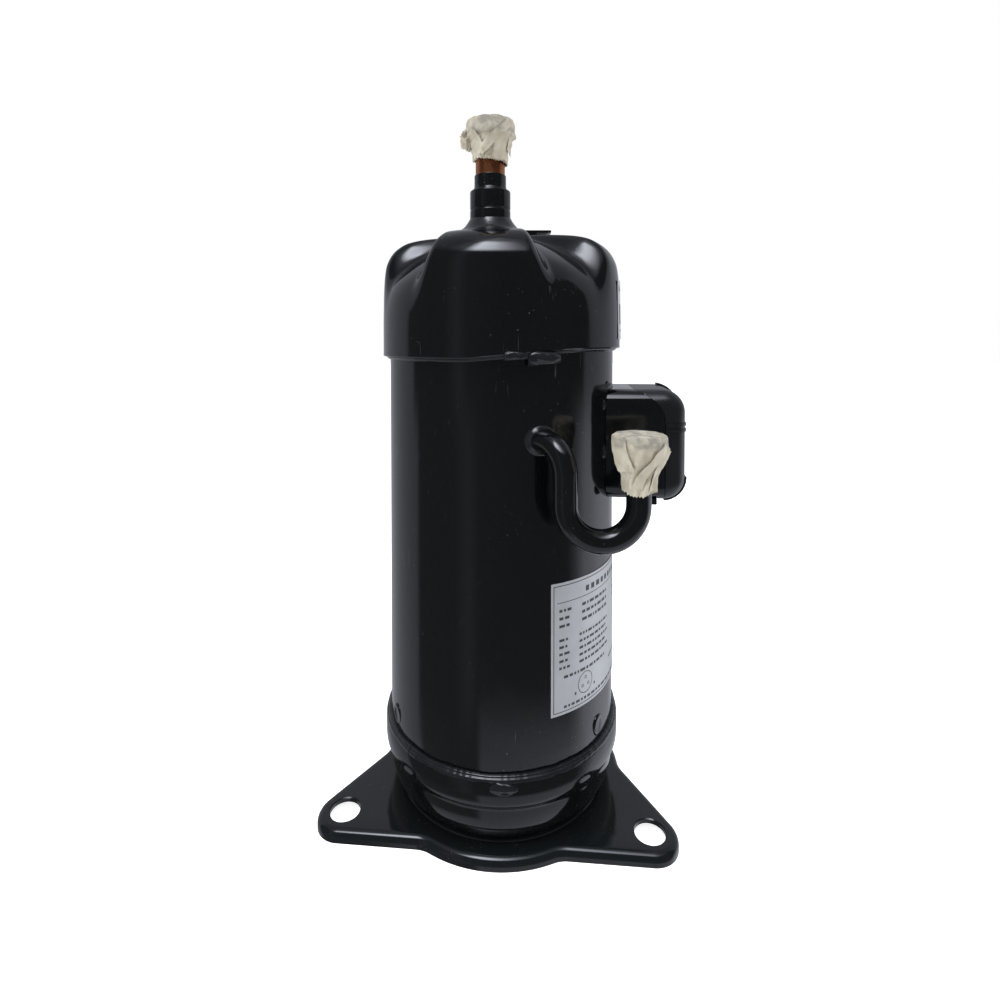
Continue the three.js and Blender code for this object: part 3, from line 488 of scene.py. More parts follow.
def copper():
    """Drawn copper, darkened in bands by the brazing flame."""
    n = Nodes("drawn_copper")
    heat = n.noise(60, 3, n.stretched((0.4, 0.4, 1.6)))
    colour = n.ramp(heat, [(0.30, (0.20, 0.065, 0.03)), (0.52, (0.46, 0.17, 0.075)),
                           (0.75, (0.66, 0.30, 0.15))])
    lines = n.bump(n.noise(700, 2, n.stretched((1, 1, 0.08))), 0.25, 0.0003)
    gloss = n.ramp(n.noise(110, 4), [(0.3, 0.22), (0.7, 0.42)])
    return n.set(Base_Color=colour, Roughness=gloss, Normal=lines, Metallic=1.0)


def masking_tape(name, head):
    """Creped paper tape, cream, grimy above a height where hands have pressed it down."""
    n = Nodes(name)
    crepe = n.bump(n.noise(1300, 4, n.stretched((1, 1, 0.25))), 0.3, 0.0004)
    folds = n.bump(n.noise(210, 5), 0.4, 0.0008, before=crepe)
    tone = n.ramp(n.noise(120, 5), [(0.3, (0.50, 0.44, 0.34)), (0.7, (0.70, 0.65, 0.53))])
    facing, spot = n.add("SeparateXYZ"), n.add("SeparateXYZ")
    n.link(n.add("NewGeometry").outputs["Normal"], facing, 0)
    n.link(n.place(), spot, 0)
    upward = n.ramp(facing.outputs["Z"], [(0.35, 0), (0.9, 1)])
    above = n.map(spot.outputs["Z"], From_Min=(head - 1.5) * MM, From_Max=(head + 1) * MM, To_Max=0.8)
    grime = n.ramp(n.noise(170, 6, roughness=0.65), [(0.38, 0.2), (0.60, 1)])
    share = n.ramp(n.plus(n.times(upward, 0.75), above), [(0, 0), (1, 1)])
    colour = n.mix(n.times(n.times(grime, share), 0.8), tone, (0.17, 0.17, 0.155))
    return n.set(Base_Color=colour, Roughness=0.86, Normal=folds, Sheen_Weight=0.15)


def rubber():
    """Matt black moulded rubber with a dusty bloom."""
    n = Nodes("plug_rubber")
    bloom = n.mix(n.noise(90, 5), (0.018, 0.018, 0.02), (0.055, 0.055, 0.055))
    return n.set(Base_Color=bloom, Roughness=0.78, Normal=n.bump(n.noise(800, 3), 0.2, 0.0003))


def foil(name, low, high, roughness, metallic):
    """A printed foil or film: faint unevenness and a soft ripple."""
    n = Nodes(name)
    colour = n.mix(n.noise(130, 5), low, high)
    ripple = n.bump(n.noise(30, 2), 0.10, 0.0006)
    return n.set(Base_Color=colour, Roughness=roughness, Metallic=metallic, Normal=ripple)


def ink():
    n = Nodes("print_ink")
    return n.set(Base_Color=n.mix(n.noise(900, 3), (0.03, 0.03, 0.035), (0.07, 0.07, 0.075)),
                 Roughness=0.5)


def machined(name, low, high, roughness=0.34, turned=(1, 1, 6), metallic=1.0):
    """Bare metal with tool marks, in two tones."""
    n = Nodes(name)
    colour = n.mix(n.noise(60, 5), low, high)
    marks = n.bump(n.noise(500, 2, n.stretched(turned)), 0.25, 0.0004)
    gloss = n.ramp(n.noise(90, 4), [(0.3, roughness - 0.07), (0.7, roughness + 0.1)])
    return n.set(Base_Color=colour, Roughness=gloss, Normal=marks, Metallic=metallic)


def cast_iron():
    n = Nodes("grey_iron")
    colour = n.mix(n.noise(110, 6), (0.10, 0.105, 0.11), (0.20, 0.205, 0.21))
    grain = n.bump(n.noise(650, 5), 0.5, 0.0005)
    return n.set(Base_Color=colour, Roughness=0.5, Normal=grain, Metallic=0.85)


def winding_wire():
    """Varnished copper wire: fine turns as a striped bump."""
    n = Nodes("varnished_wire")
    turns = n.noise(900, 1, n.stretched((0.25, 0.25, 1)))
    colour = n.mix(n.noise(70, 4), (0.28, 0.08, 0.03), (0.50, 0.20, 0.09))
    return n.set(Base_Color=colour, Roughness=0.32, Metallic=0.6, Coat_Weight=0.5,
                 Normal=n.bump(turns, 0.7, 0.001))


def sealed_glass():
    n = Nodes("fused_glass")
    colour = n.mix(n.noise(200, 3), (0.05, 0.11, 0.12), (0.09, 0.17, 0.18))
    return n.set(Base_Color=colour, Roughness=0.08, Coat_Weight=0.5)


PAINT = black_paint()
FOOT_PAINT = black_paint("black_enamel_dusty", dust=1.0)
WELD = weld_metal()
PLASTIC = black_plastic()
COPPER = copper()
TAPE = masking_tape("crepe_tape", SUCTION_HEAD)
TUBE_TAPE = masking_tape("crepe_tape_low", DISCHARGE_HEAD)
PLATE = foil("nameplate_foil", (0.46, 0.47, 0.49), (0.57, 0.58, 0.60), 0.42, 0.35)
FILM = foil("label_film", (0.46, 0.48, 0.52), (0.56, 0.58, 0.62), 0.45, 0.0)
INK = ink()

SLOT_MATERIALS = {
    "black_paint": PAINT,
    "black_plastic": PLASTIC,
    "copper": COPPER,
    "winding_wire": winding_wire(),
    "masking_tape": TAPE,
    "rubber": rubber(),
    "nameplate": PLATE,
    "white_label": FILM,
    "cast_iron": cast_iron(),
    "steel": machined("ground_steel", (0.42, 0.43, 0.45), (0.60, 0.61, 0.63)),
    "lamination": machined("lamination_stack", (0.22, 0.23, 0.25), (0.36, 0.37, 0.39), 0.42,
                           (0.2, 0.2, 9)),
    "aluminium": machined("cast_aluminium", (0.58, 0.59, 0.60), (0.74, 0.75, 0.76), 0.4),
    "bronze": machined("bearing_bronze", (0.40, 0.26, 0.11), (0.58, 0.41, 0.19), 0.32),
    "glass": sealed_glass(),
}


def dress_cad_nodes():
    """Gives each CAD node its finished material by the record's slots."""
    for part in frame["record"]["subparts"]:
        node = frame["nodes"][part["node"]]
        node.data.materials.clear()
        node.data.materials.append(SLOT_MATERIALS[part["material_slot"]])


# ---- the dome

LOBE_PROFILE = ((0, 343), (22, 342.4), (45, 340.2), (57.2, 337.7), (63.5, 334.6),
                (68.2, 330.3), (71.6, 324.1), (72.9, 317.9), (73.6, 309), (73.9, 299))
VALLEY_PROFILE = ((0, 343), (18, 340.6), (33, 335.6), (45, 330.2), (54, 325),
                  (62, 319), (68.4, 312), (71.6, 305.6), (73, 300), (73.9, 293))
DOME_STEPS = 5
LOBE_CURVE = spline(LOBE_PROFILE, DOME_STEPS)
VALLEY_CURVE = spline(VALLEY_PROFILE, DOME_STEPS)


def lobe_share(azimuth):
    """1 on each of the dome's four lobes and 0 along a valley, with quick flanks between."""
    wave = math.cos(math.radians(4 * (azimuth - LOBE_AZIMUTH)))
    return smoothstep(wave, -0.75, 0.1)


def dome_curve(azimuth):
    share = lobe_share(azimuth)
    return [(lerp(v[0], p[0], share), lerp(v[1], p[1], share))
            for v, p in zip(VALLEY_CURVE, LOBE_CURVE)]


def dome_height(x, y):
    """The dome's height over a point."""
    radius = math.hypot(x, y)
    curve = dome_curve(math.degrees(math.atan2(y, x)))
    for (r0, z0), (r1, z1) in zip(curve, curve[1:]):
        if r0 <= radius <= r1:
            return lerp(z0, z1, (radius - r0) / (r1 - r0))
    return curve[-1][1]


def rim_height(azimuth):
    """The cap's cut edge isn't quite level: it rises towards the terminal side."""
    lift = math.cos(math.radians(azimuth + 25))
    return CAP_RIM + 5.0 * smoothstep(lift, 0.1, 0.95)


def top_cap():
    segments = 288
    rings = []
    for i in range(segments):
        azimuth = 360 * i / segments
        rim = rim_height(azimuth)
        crown = dome_curve(azimuth)
        wall = [(CAP_RADIUS - 0.2, lerp(crown[-1][1], rim, t)) for t in (0.35, 0.7, 0.97)]
        lip = [(CAP_RADIUS, rim + 0.8), (CAP_RADIUS - 0.5, rim + 0.1), (CAP_RADIUS - 1.2, rim)]
        inside = [(SHELL_RADIUS + 0.4, rim), (SHELL_RADIUS + 0.3, rim + 0.6),
                  (SHELL_RADIUS + 0.3, 297), (66.5, 309), (58, 318), (42, 327), (0, 337.5)]
        rings.append([polar(r, azimuth, z) for r, z in crown + wall + lip + inside])
    cap = skin("top_cap_pressing", rings, closed=True, sharp=50)
    hole = lathe("hole", [(0, 300), (11.9, 300), (11.9, 360), (0, 360)], SUCTION.xy, 48)
    place(carve(cap, [hole]), PAINT, replaces=["top_cap"])


# ---- shell, lower cap and welds

def shell_tube():
    low, high = shell_low.z, shell_high.z
    profile = rounded([(SHELL_BORE, low, 0), (SHELL_RADIUS, low, 0.6),
                       (SHELL_RADIUS, high, 0.6), (SHELL_BORE, high, 0)], 3)
    rows = [(SHELL_RADIUS, lerp(low + 1, high - 1, t / 12)) for t in range(1, 12)]
    middle = profile.index(min(profile[2:6], key=lambda p: abs(p[1] - low - 0.6))) + 1
    profile[middle:middle] = rows
    tube = lathe("shell_tube", profile, segments=240)
    start, corner = discharge_start()
    bore = pipe("bore", [start, corner], TUBE_RADIUS + 0.3, sides=32)
    window = spindle("window", [(0, 55), (TERMINAL_RADIUS, 55), (TERMINAL_RADIUS, 80), (0, 80)], 48)
    place(carve(tube, [bore, window]), PAINT, replaces=["shell_body"])


def bottom_cap():
    """The lower pressing, drawn in below a step so that it plugs into the shell's weld."""
    outside = spline([(40, 0), (52, 1.6), (61.4, 6.5), (66.4, 11.5), (69, 17.5), (69.9, 23),
                      (69.9, 28.2)], 5)
    outside += [(70.1, 29.2), (70.7, 30.3), (71.6, 31.2), (72.4, 32.2), (72.9, 33.3),
                (BASE_RADIUS, 34.8)]
    rim = rounded([(BASE_RADIUS, BASE_RIM, 1.0), (SHELL_RADIUS + 0.3, BASE_RIM, 0.4)], 3, False)
    rim = [(BASE_RADIUS, BASE_RIM - 1), (BASE_RADIUS - 0.4, BASE_RIM - 0.2), *rim[1:]]
    inside = [(SHELL_RADIUS + 0.3, 33.7), (SHELL_BORE, 33.7), (65, 19), (56, 9), (40, 4.4), (0, 4)]
    cap = lathe("bottom_cap_pressing", [(0, 0), *outside, *rim, *inside], segments=192)
    place(cap, PAINT, replaces=["bottom_cap"])


def bead(name, level, height, radius, node):
    """A smooth ring of weld metal in two runs. level(azimuth) is its foot; height may point down."""
    segments, steps = 540, 12
    rings = []
    for i in range(segments):
        azimuth = 360 * i / segments
        foot = level(azimuth)
        lump = 1 + 0.22 * noise.noise(polar(5, azimuth)) + 0.06 * noise.noise(polar(40, azimuth))
        reach = (radius - SHELL_RADIUS) * lump
        section = []
        for k in range(steps + 1):
            angle = math.pi / 2 * k / steps
            valley = 1 - 0.13 * math.sin(2 * angle) ** 10
            r = SHELL_RADIUS + 0.05 + reach * valley * math.cos(angle) ** 0.8
            section.append(polar(r, azimuth, foot + height * lump * valley * math.sin(angle) ** 0.8))
        section.append(polar(SHELL_RADIUS + 0.05, azimuth, foot))
        rings.append(section)
    piece = skin(name, rings, closed=True, sharp=60)
    place(piece, WELD, replaces=[node])


def weld_blob(name, azimuth, z, width, tall, proud, radius, seed):
    """A frozen lump of weld metal lying on the shell's side."""
    rng = random.Random(seed)
    offset = Vector((rng.uniform(0, 50), rng.uniform(0, 50), rng.uniform(0, 50)))
    rows, columns = 14, 28
    fronts, backs = [], []
    for i in range(rows + 1):
        for j in range(columns + 1):
            u, v = 2 * j / columns - 1, 2 * i / rows - 1
            spot = Vector((u * 2.2, v * 1.6, 0)) + offset
            edge = max(0.0, 1 - (u * u + v * v) ** 1.2)
            height = proud * edge ** 0.5 * (0.85 + 0.5 * noise.noise(spot * 1.1))
            angle = azimuth + math.degrees(u * width / 2 / radius)
            level = z + v * tall / 2 * (1 - 0.2 * u)
            fronts.append(polar(radius - 0.3 + height, angle, level))
            backs.append(polar(radius - 0.8, angle, level))
    place(sheet(name, fronts, backs, rows, columns, 60), WELD)


def sheet(name, fronts, backs, rows, columns, sharp=35):
    """A closed sheet between a front and a back grid of points."""
    back = len(fronts)
    faces = grid_faces(rows, columns, 0, False) + grid_faces(rows, columns, back, True)
    return solid(name, fronts + backs, faces + rim_faces(rows, columns, back), sharp)


def grid_faces(rows, columns, start, flipped):
    faces = []
    width = columns + 1
    for i in range(rows):
        for j in range(columns):
            a = start + i * width + j
            face = (a, a + 1, a + width + 1, a + width)
            faces.append(tuple(reversed(face)) if flipped else face)
    return faces


def rim_faces(rows, columns, back):
    """Joins the front grid's border to the back grid's."""
    width = columns + 1
    border = [j for j in range(columns)]
    border += [i * width + columns for i in range(rows)]
    border += [rows * width + j for j in range(columns, 0, -1)]
    border += [i * width for i in range(rows, 0, -1)]
    return [(a, a + back, b + back, b) for a, b in zip(border, border[1:] + border[:1])]


def plug_weld(index, azimuth):
    """A weld through the shell over one of the inner lugs: a hollow with a raised crescent rim."""
    points = []
    columns = 40
    profile = ((0, 0.08), (1.8, 0.06), (2.9, 0.25), (3.7, 0.75), (4.3, 0.95), (4.9, 0.7),
               (5.4, 0.0), (5.4, -0.4))
    for r, height in profile:
        for k in range(columns):
            angle = 2 * math.pi * k / columns
            side, up = r * 0.95 * math.cos(angle), r * 1.12 * math.sin(angle)
            spot = azimuth + math.degrees(side / SHELL_RADIUS)
            rise = height * (0.72 + 0.38 * math.cos(angle - 2.4)) if height > 0 else height
            points.append(polar(SHELL_RADIUS + rise, spot, PLUG_WELD_Z + up))
    rings = [points[i * columns:(i + 1) * columns] for i in range(len(profile))]
    place(skin(f"plug_weld_{index}", rings, sharp=60), PAINT)


def welds():
    bead("bottom_weld", lambda azimuth: BASE_RIM - 0.6, 3.2, BASE_RADIUS - 0.3, "bottom_weld_bead")
    bead("top_weld", lambda azimuth: rim_height(azimuth) + 0.3, -2.0, SHELL_RADIUS + 2.2,
         "top_weld_bead")
    section = ((0.1, -1.6), (1.4, -0.3), (2.4, 0.1), (2.1, 0.7), (1.2, 1.1), (0.1, 0.6))
    ring = [(FOOT_BORE + out, FOOT_HEIGHT + up) for out, up in section]
    place(lathe("foot_weld", ring, segments=192), WELD)
    weld_blob("bottom_weld_end", -89.2, 42.4, 15.5, 6.4, 2.0, BASE_RADIUS, 3)
    weld_blob("top_weld_start", -84.5, CAP_RIM + 1.9, 13, 4.4, 1.4, CAP_RADIUS, 5)
    weld_blob("top_weld_end", -72.3, CAP_RIM + 0.6, 18.5, 6.8, 1.8, CAP_RADIUS, 8)
    weld_blob("box_weld_low", BOX_AZIMUTH - 25.2, TERMINAL_Z - 3, 4.6, 8, 1.8, SHELL_RADIUS, 12)
    weld_blob("box_weld_high", BOX_AZIMUTH - 25.2, TERMINAL_Z + 24, 4.2, 6, 1.6, SHELL_RADIUS, 17)
    for index, azimuth in enumerate((208.5, 322, 86)):
        plug_weld(index + 1, azimuth)


# ---- foot plate

def foot_outline(inset, z):
    """A triangle with rounded corners, whose sides bulge round the shell, moved in by an inset."""
    side = FOOT_HOLE_CIRCLE / 2 + FOOT_CORNER - inset
    bulge, fillet = 75 - inset, 18 + inset
    along = math.sqrt((bulge + fillet) ** 2 - (side + fillet) ** 2)
    lean = math.degrees(math.atan2(along, side + fillet))
    points = []
    for azimuth in FOOT_AZIMUTHS:
        hole = polar(FOOT_HOLE_CIRCLE, azimuth)
        normal = azimuth + 60
        near, far = (polar(side + fillet, normal) + polar(t, normal + 90) for t in (-along, along))
        points += arc(hole, FOOT_CORNER - inset, azimuth - 60, azimuth + 60, 20)
        points += arc(near, fillet, normal + 180, normal + 180 - lean, 8)
        points += arc((0, 0), bulge, normal - lean, normal + lean, 24)[1:-1]
        points += arc(far, fillet, normal + 180 + lean, normal + 180, 8)
    return [(x, y, z) for x, y in points]


def foot_blank(name, inset, low, high, bend):
    rings = [foot_outline(inset, low)]
    for step in range(9):
        turn = math.pi / 2 * step / 8
        pull, rise = bend * (1 - math.cos(turn)), bend * math.sin(turn)
        rings.append(foot_outline(inset + pull, high - bend + rise))
    return skin(name, rings)


def foot_plate():
    plate = foot_blank("foot_pressing", 0, 0, FOOT_HEIGHT, 4)
    tools = [foot_blank("hollow", 2.6, -1, FOOT_HEIGHT - 2.6, 1.4)]
    for azimuth in FOOT_AZIMUTHS:
        profile = [(0, -2), (FOOT_HOLE_RADIUS, -2), (FOOT_HOLE_RADIUS, FOOT_HEIGHT - 0.5),
                   (FOOT_HOLE_RADIUS + 0.8, FOOT_HEIGHT + 0.3), (FOOT_HOLE_RADIUS + 0.8, 9), (0, 9)]
        tools.append(lathe("hole", profile, polar(FOOT_HOLE_CIRCLE, azimuth).xy, 64))
    tools.append(lathe("hole", [(0, -2), (FOOT_BORE, -2), (FOOT_BORE, 9), (0, 9)], segments=192))
    place(carve(plate, tools), FOOT_PAINT, replaces=["foot_plate"])


# ---- suction side

def suction_stub():
    """The steel collar and neck that hold the copper tube, with the line left by each part."""
    bore = SUCTION_RADIUS + 0.3
    top = collar_high.z
    step = top - 8.8
    radius = COLLAR_RADIUS
    profile = rounded([
        (bore, 325, 0), (radius - 0.4, 325, 0), (radius - 0.4, 341, 0), (radius, 341, 0),
        (radius, 345.6, 0.4), (radius - 0.35, 346.1, 0.2), (radius, 346.6, 0.4),
        (radius, 351.3, 0.4), (radius - 0.45, 351.8, 0.2), (radius, 352.3, 0.5),
        (radius, step - 0.2, 0.9), (9.8, step + 0.2, 0.4), (9.1, step + 2.2, 1.2),
        (9.1, top - 0.2, 0.3), (bore, top, 0.2)], 3)
    stub = lathe("suction_stub", profile, SUCTION.xy, 72)
    place(stub, PAINT, replaces=["suction_collar"])


def suction_fillet():
    """Weld metal that runs from the collar out onto the dome."""
    segments, steps = 120, 10
    rings = []
    for i in range(segments):
        azimuth = 360 * i / segments
        uneven = 1 + 0.12 * noise.noise(polar(1.6, azimuth, 7))
        section = []
        for k in range(steps + 1):
            share = k / steps
            reach = COLLAR_RADIUS + 7.2 * share * uneven
            spot = Vector((SUCTION.x, SUCTION.y, 0)) + polar(reach, azimuth)
            rise = 6.4 * (1 - share) ** 2.1
            spot.z = dome_height(spot.x, spot.y) + rise - 0.12 * share
            section.append(spot)
        inner = Vector((SUCTION.x, SUCTION.y, 0)) + polar(COLLAR_RADIUS, azimuth)
        inner.z = dome_height(inner.x, inner.y) - 0.8
        outer = section[-1].copy()
        outer.z -= 0.6
        rings.append(section + [outer, inner])
    place(skin("suction_weld", rings, closed=True, sharp=60), WELD)


def suction_tube():
    bore = SUCTION_RADIUS - 1.1
    low, high = suction_low.z, suction_high.z
    profile = rounded([(bore, low, 0.2), (SUCTION_RADIUS, low, 0.2), (SUCTION_RADIUS, high, 0.3),
                       (bore, high, 0.3)], 3)
    tube = lathe("suction_tube_drawn", profile, SUCTION.xy, 72)
    place(tube, COPPER, replaces=["suction_tube"])


# ---- discharge side

def discharge_start():
    inlet = polar(SHELL_RADIUS, -72.8, TERMINAL_Z + 8.5)
    corner = Vector((32, DISCHARGE.y, TERMINAL_Z + 8.5))
    return inlet.lerp(corner, -0.5), corner


def discharge_tube():
    start, corner = discharge_start()
    low = tube_low.z + TUBE_RADIUS
    right = DISCHARGE.x
    bend = (right - corner.x) / 2
    end = Vector((right, corner.y, 216))
    corners = [start, corner, Vector((corner.x, corner.y, low)), Vector((right, corner.y, low)), end]
    path = bent_path(corners, [15.5, bend - 0.01, bend - 0.01])
    tube = pipe("discharge_bend", path, TUBE_RADIUS, TUBE_RADIUS - 1)
    place(tube, PAINT, replaces=["discharge_tube"])


def discharge_fillet():
    """The ring of braze where the tube enters the shell."""
    start, corner = discharge_start()
    along = (corner - start).normalized()
    side = along.cross(Vector((0, 0, 1))).normalized()
    rings = []
    segments, steps = 72, 8
    for i in range(segments):
        angle = 2 * math.pi * i / segments
        out = side * math.cos(angle) + Vector((0, 0, 1)) * math.sin(angle)
        section = []
        for k in range(steps + 1):
            share = k / steps
            radius = TUBE_RADIUS - 0.1 + 2.4 * share
            rise = 2.6 * (1 - share) ** 2
            section.append(onto_shell(start + out * radius, along, rise - 0.1))
        section.append(onto_shell(start + out * (TUBE_RADIUS + 2.3), along, -0.9))
        section.append(onto_shell(start + out * (TUBE_RADIUS - 0.1), along, -0.9))
        rings.append(section)
    place(skin("discharge_braze", rings, closed=True, sharp=60), WELD)


def onto_shell(point, along, lift):
    """The point where a line meets the shell's outside, moved on along it by a lift."""
    flat, course = Vector(point.xy), Vector(along.xy)
    a, b = course.dot(course), 2 * flat.dot(course)
    c = flat.dot(flat) - SHELL_RADIUS ** 2
    reach = (-b + math.sqrt(b * b - 4 * a * c)) / (2 * a)
    return point + along * (reach + lift)


# ---- tape over the open ends

def serrated(angle, teeth, depth):
    """The zigzag that a tape cutter leaves."""
    phase = angle / (2 * math.pi) * teeth
    return depth * abs(2 * (phase - math.floor(phase + 0.5)))


def crease(angle, height, course, lean, width, depth):
    """A ridge with a hollow beside it, running down a wrap at a lean."""
    offset = (angle - course - lean * height + math.pi) % (2 * math.pi) - math.pi
    x = offset / width
    return depth * (math.exp(-x * x) - 0.8 * math.exp(-(x + 1.3) ** 2))


class Wrap:
    """Crumpled tape wound round a plug. Strips of tape can be laid over its side.

    profile is (radius, height) from the hem to the crown. creases are (angle, height, lean,
    width, depth), with heights from 0 at the hem to 1 at the crown.
    """

    def __init__(self, name, centre, profile, head, creases, hold, material, body, seed):
        self.name, self.centre, self.head, self.creases = name, centre, head, creases
        self.hold, self.material, self.body = hold, material, body
        self.curve = spline(profile, 6)
        self.low, self.high = self.curve[0][1], self.curve[-1][1]
        self.offset = Vector((seed * 7.3, seed * 3.1, seed * 5.7))

    def rough(self, angle, z):
        """How far the side stands out of its plain profile."""
        share = (z - self.low) / (self.high - self.low)
        calm = lerp(1, 0.35, smoothstep(z, self.head - 1.5, self.head + 0.5))
        spot = Vector((math.cos(angle) * 2.1, math.sin(angle) * 2.1, z * 0.16)) + self.offset
        fold = sum(crease(angle, share, *c) for c in self.creases)
        return calm * (fold + 0.9 * noise.noise(spot) + 0.5 * noise.noise(spot * 2.9))

    def side(self, z):
        """The plain profile's radius at a height."""
        best = self.curve[0][0]
        for (r0, z0), (r1, z1) in zip(self.curve, self.curve[1:]):
            if z0 <= z <= z1 and r1 > 6:
                best = max(best if z > self.low + 0.5 else r0,
                           lerp(r0, r1, (z - z0) / max(z1 - z0, 1e-6)))
        return best

    def point(self, angle, radius, z):
        return Vector((self.centre[0], self.centre[1], z)) + radius * Vector(
            (math.cos(angle), math.sin(angle), 0))

    def cover(self, hem, teeth, nodes):
        """The wound skin itself. hem(angle) moves its lower edge down or up."""
        columns = 200
        turns = [2 * math.pi * k / columns for k in range(columns)]
        outer = []
        for radius, z in self.curve:
            share = (z - self.low) / (self.high - self.low)
            fade = smoothstep(radius, 1, 10)
            ring = []
            for angle in turns:
                reach = radius + self.rough(angle, z) * fade
                reach = max(reach, self.hold(z)) if radius > 11.5 or z < self.head else reach
                drop = (hem(angle) - serrated(angle, teeth, 0.9)) * (1 - share) ** 4
                flat = Vector((math.cos(angle), math.sin(angle), 0)) * radius * 0.3
                swell = 0.45 * noise.noise(flat + self.offset) * smoothstep(z, self.head, self.high)
                ring.append(self.point(angle, reach, z + drop + swell))
            outer.append(ring)
        axis = Vector((*self.centre, 0))
        inner = []
        for ring in outer[:5]:
            loop = []
            for point in ring:
                flat = Vector((point.x, point.y, 0)) - axis
                reach = max(self.hold(point.z) - 0.3, flat.length - 0.5)
                loop.append(axis + flat.normalized() * reach + Vector((0, 0, point.z)))
            inner.append(loop)
        top = max(point.z for point in inner[-1]) + 0.6
        roof = [self.point(angle, self.hold(top) - 0.3, top) for angle in turns]
        piece = skin(self.name, [roof, *reversed(inner), *outer], sharp=48)
        place(piece, self.material, body=self.body, replaces=nodes)

    def strip(self, name, course, width, lift, ragged=True, curl=0.0):
        """A strip of tape laid along a course of (degrees, height) stops, one end ragged."""
        path = spline(course, 8)
        columns = 2 * max(2, round(width / 1.5))
        fronts, backs = [], []
        for i, (turn, z) in enumerate(path):
            a, b = path[max(i - 1, 0)], path[min(i + 1, len(path) - 1)]
            radius = self.side(z) + 0.5
            along = Vector((math.radians(b[0] - a[0]) * radius, b[1] - a[1])).normalized()
            share = i / (len(path) - 1)
            for j in range(columns + 1):
                t = 2 * j / columns - 1
                out = t * width / 2
                end = 0.8 * (j % 2) if ragged and i == len(path) - 1 else 0.0
                shift = Vector((along.y, -along.x)) * out + along * end
                angle = math.radians(turn) + shift.x / radius
                height = z + shift.y
                base = max(self.side(height + dz) for dz in (-1.6, 0, 1.6))
                spot = Vector((out * 0.3, share * 5, lift * 3)) + self.offset
                rise = lift + 0.3 * abs(t) ** 3 + 0.3 * noise.noise(spot) + curl * share ** 2
                reach = base + max(self.rough(angle, height), -0.5) + rise
                reach = max(reach, self.hold(height) + 0.3)
                fronts.append(self.point(angle, reach, height))
                backs.append(self.point(angle, reach - 0.28, height))
        piece = sheet(name, fronts, backs, len(path) - 1, columns, 50)
        place(piece, self.material, body=self.body)

    def knot(self, name, centre, radii, seed):
        """A screwed-up lump of tape hanging at the side."""
        rings = []
        for i in range(1, 24):
            lean = math.pi * i / 24
            ring = []
            for k in range(48):
                angle = 2 * math.pi * k / 48
                way = Vector((math.sin(lean) * math.cos(angle), math.sin(lean) * math.sin(angle),
                              -math.cos(lean)))
                spot = way * 1.3 + Vector((seed, seed * 2, 0))
                ridges = abs(noise.noise(spot)) + 0.7 * abs(noise.noise(spot * 2.3))
                size = 1.12 - 0.75 * ridges
                ring.append(Vector([c + r * w * size for c, r, w in zip(centre, radii, way)]))
            rings.append(ring)
        place(skin(name, rings, sharp=50), self.material, body=self.body)


def suction_wrap():
    low, high = suction_tape_low.z, suction_tape_high.z
    head = SUCTION_HEAD
    profile = ((9.6, low + 2.2), (9.8, low + 5), (10.4, low + 9), (11.3, low + 12.4),
               (11.7, head - 0.6), (13.3, head + 0.1), (13.9, head + 1.4), (14.0, head + 4),
               (13.9, high - 2.0), (13.3, high - 0.8), (11, high - 0.5), (5, high - 0.4),
               (0, high - 0.4))
    creases = ((-2.3, 1.5, 0.16, 0.8), (-1.75, -0.9, 0.12, 0.8), (-0.9, 0.5, 0.15, 0.9),
               (0.9, -0.9, 0.16, 0.9), (2.2, 0.6, 0.22, 1.0), (2.9, -1.4, 0.15, 0.8))

    def hold(z):
        return SUCTION_PLUG_RADIUS if z > head + 0.2 else SUCTION_RADIUS + TAPE_GAP

    wrap = Wrap("suction_tape_wrap", SUCTION.xy, profile, head, creases, hold, TAPE,
                "suction_seal", 1)
    wrap.cover(lambda angle: -1.2 * math.cos(angle + 0.3), 40, ["suction_tape"])
    wrap.strip("suction_tape_left", [(-150, head + 1), (-140, head - 5), (-128, head - 11.5)],
               9.5, 0.25)
    wrap.strip("suction_tape_right", [(-48, head + 2), (-50, head - 6), (-54, head - 14.6)],
               10.5, 0.5, curl=0.5)
    wrap.strip("suction_tape_fold", [(-42, high - 3.2), (-72, head - 1.5), (-98, head - 7),
                                     (-122, head - 11)], 4.4, 1.0, ragged=False)
    wrap.strip("suction_tape_end", [(-20, head + 1), (-22, head - 5), (-26, head - 10)], 7, 0.7,
               curl=1.4)
    wrap.strip("suction_tape_rear", [(60, head + 1), (72, head - 5), (80, head - 11)], 9, 0.5)
    centre = (SUCTION.x - 13.0, SUCTION.y - 1.5, head - 1.8)
    wrap.knot("suction_tape_knot", centre, (4.6, 4.8, 6.2), 4)


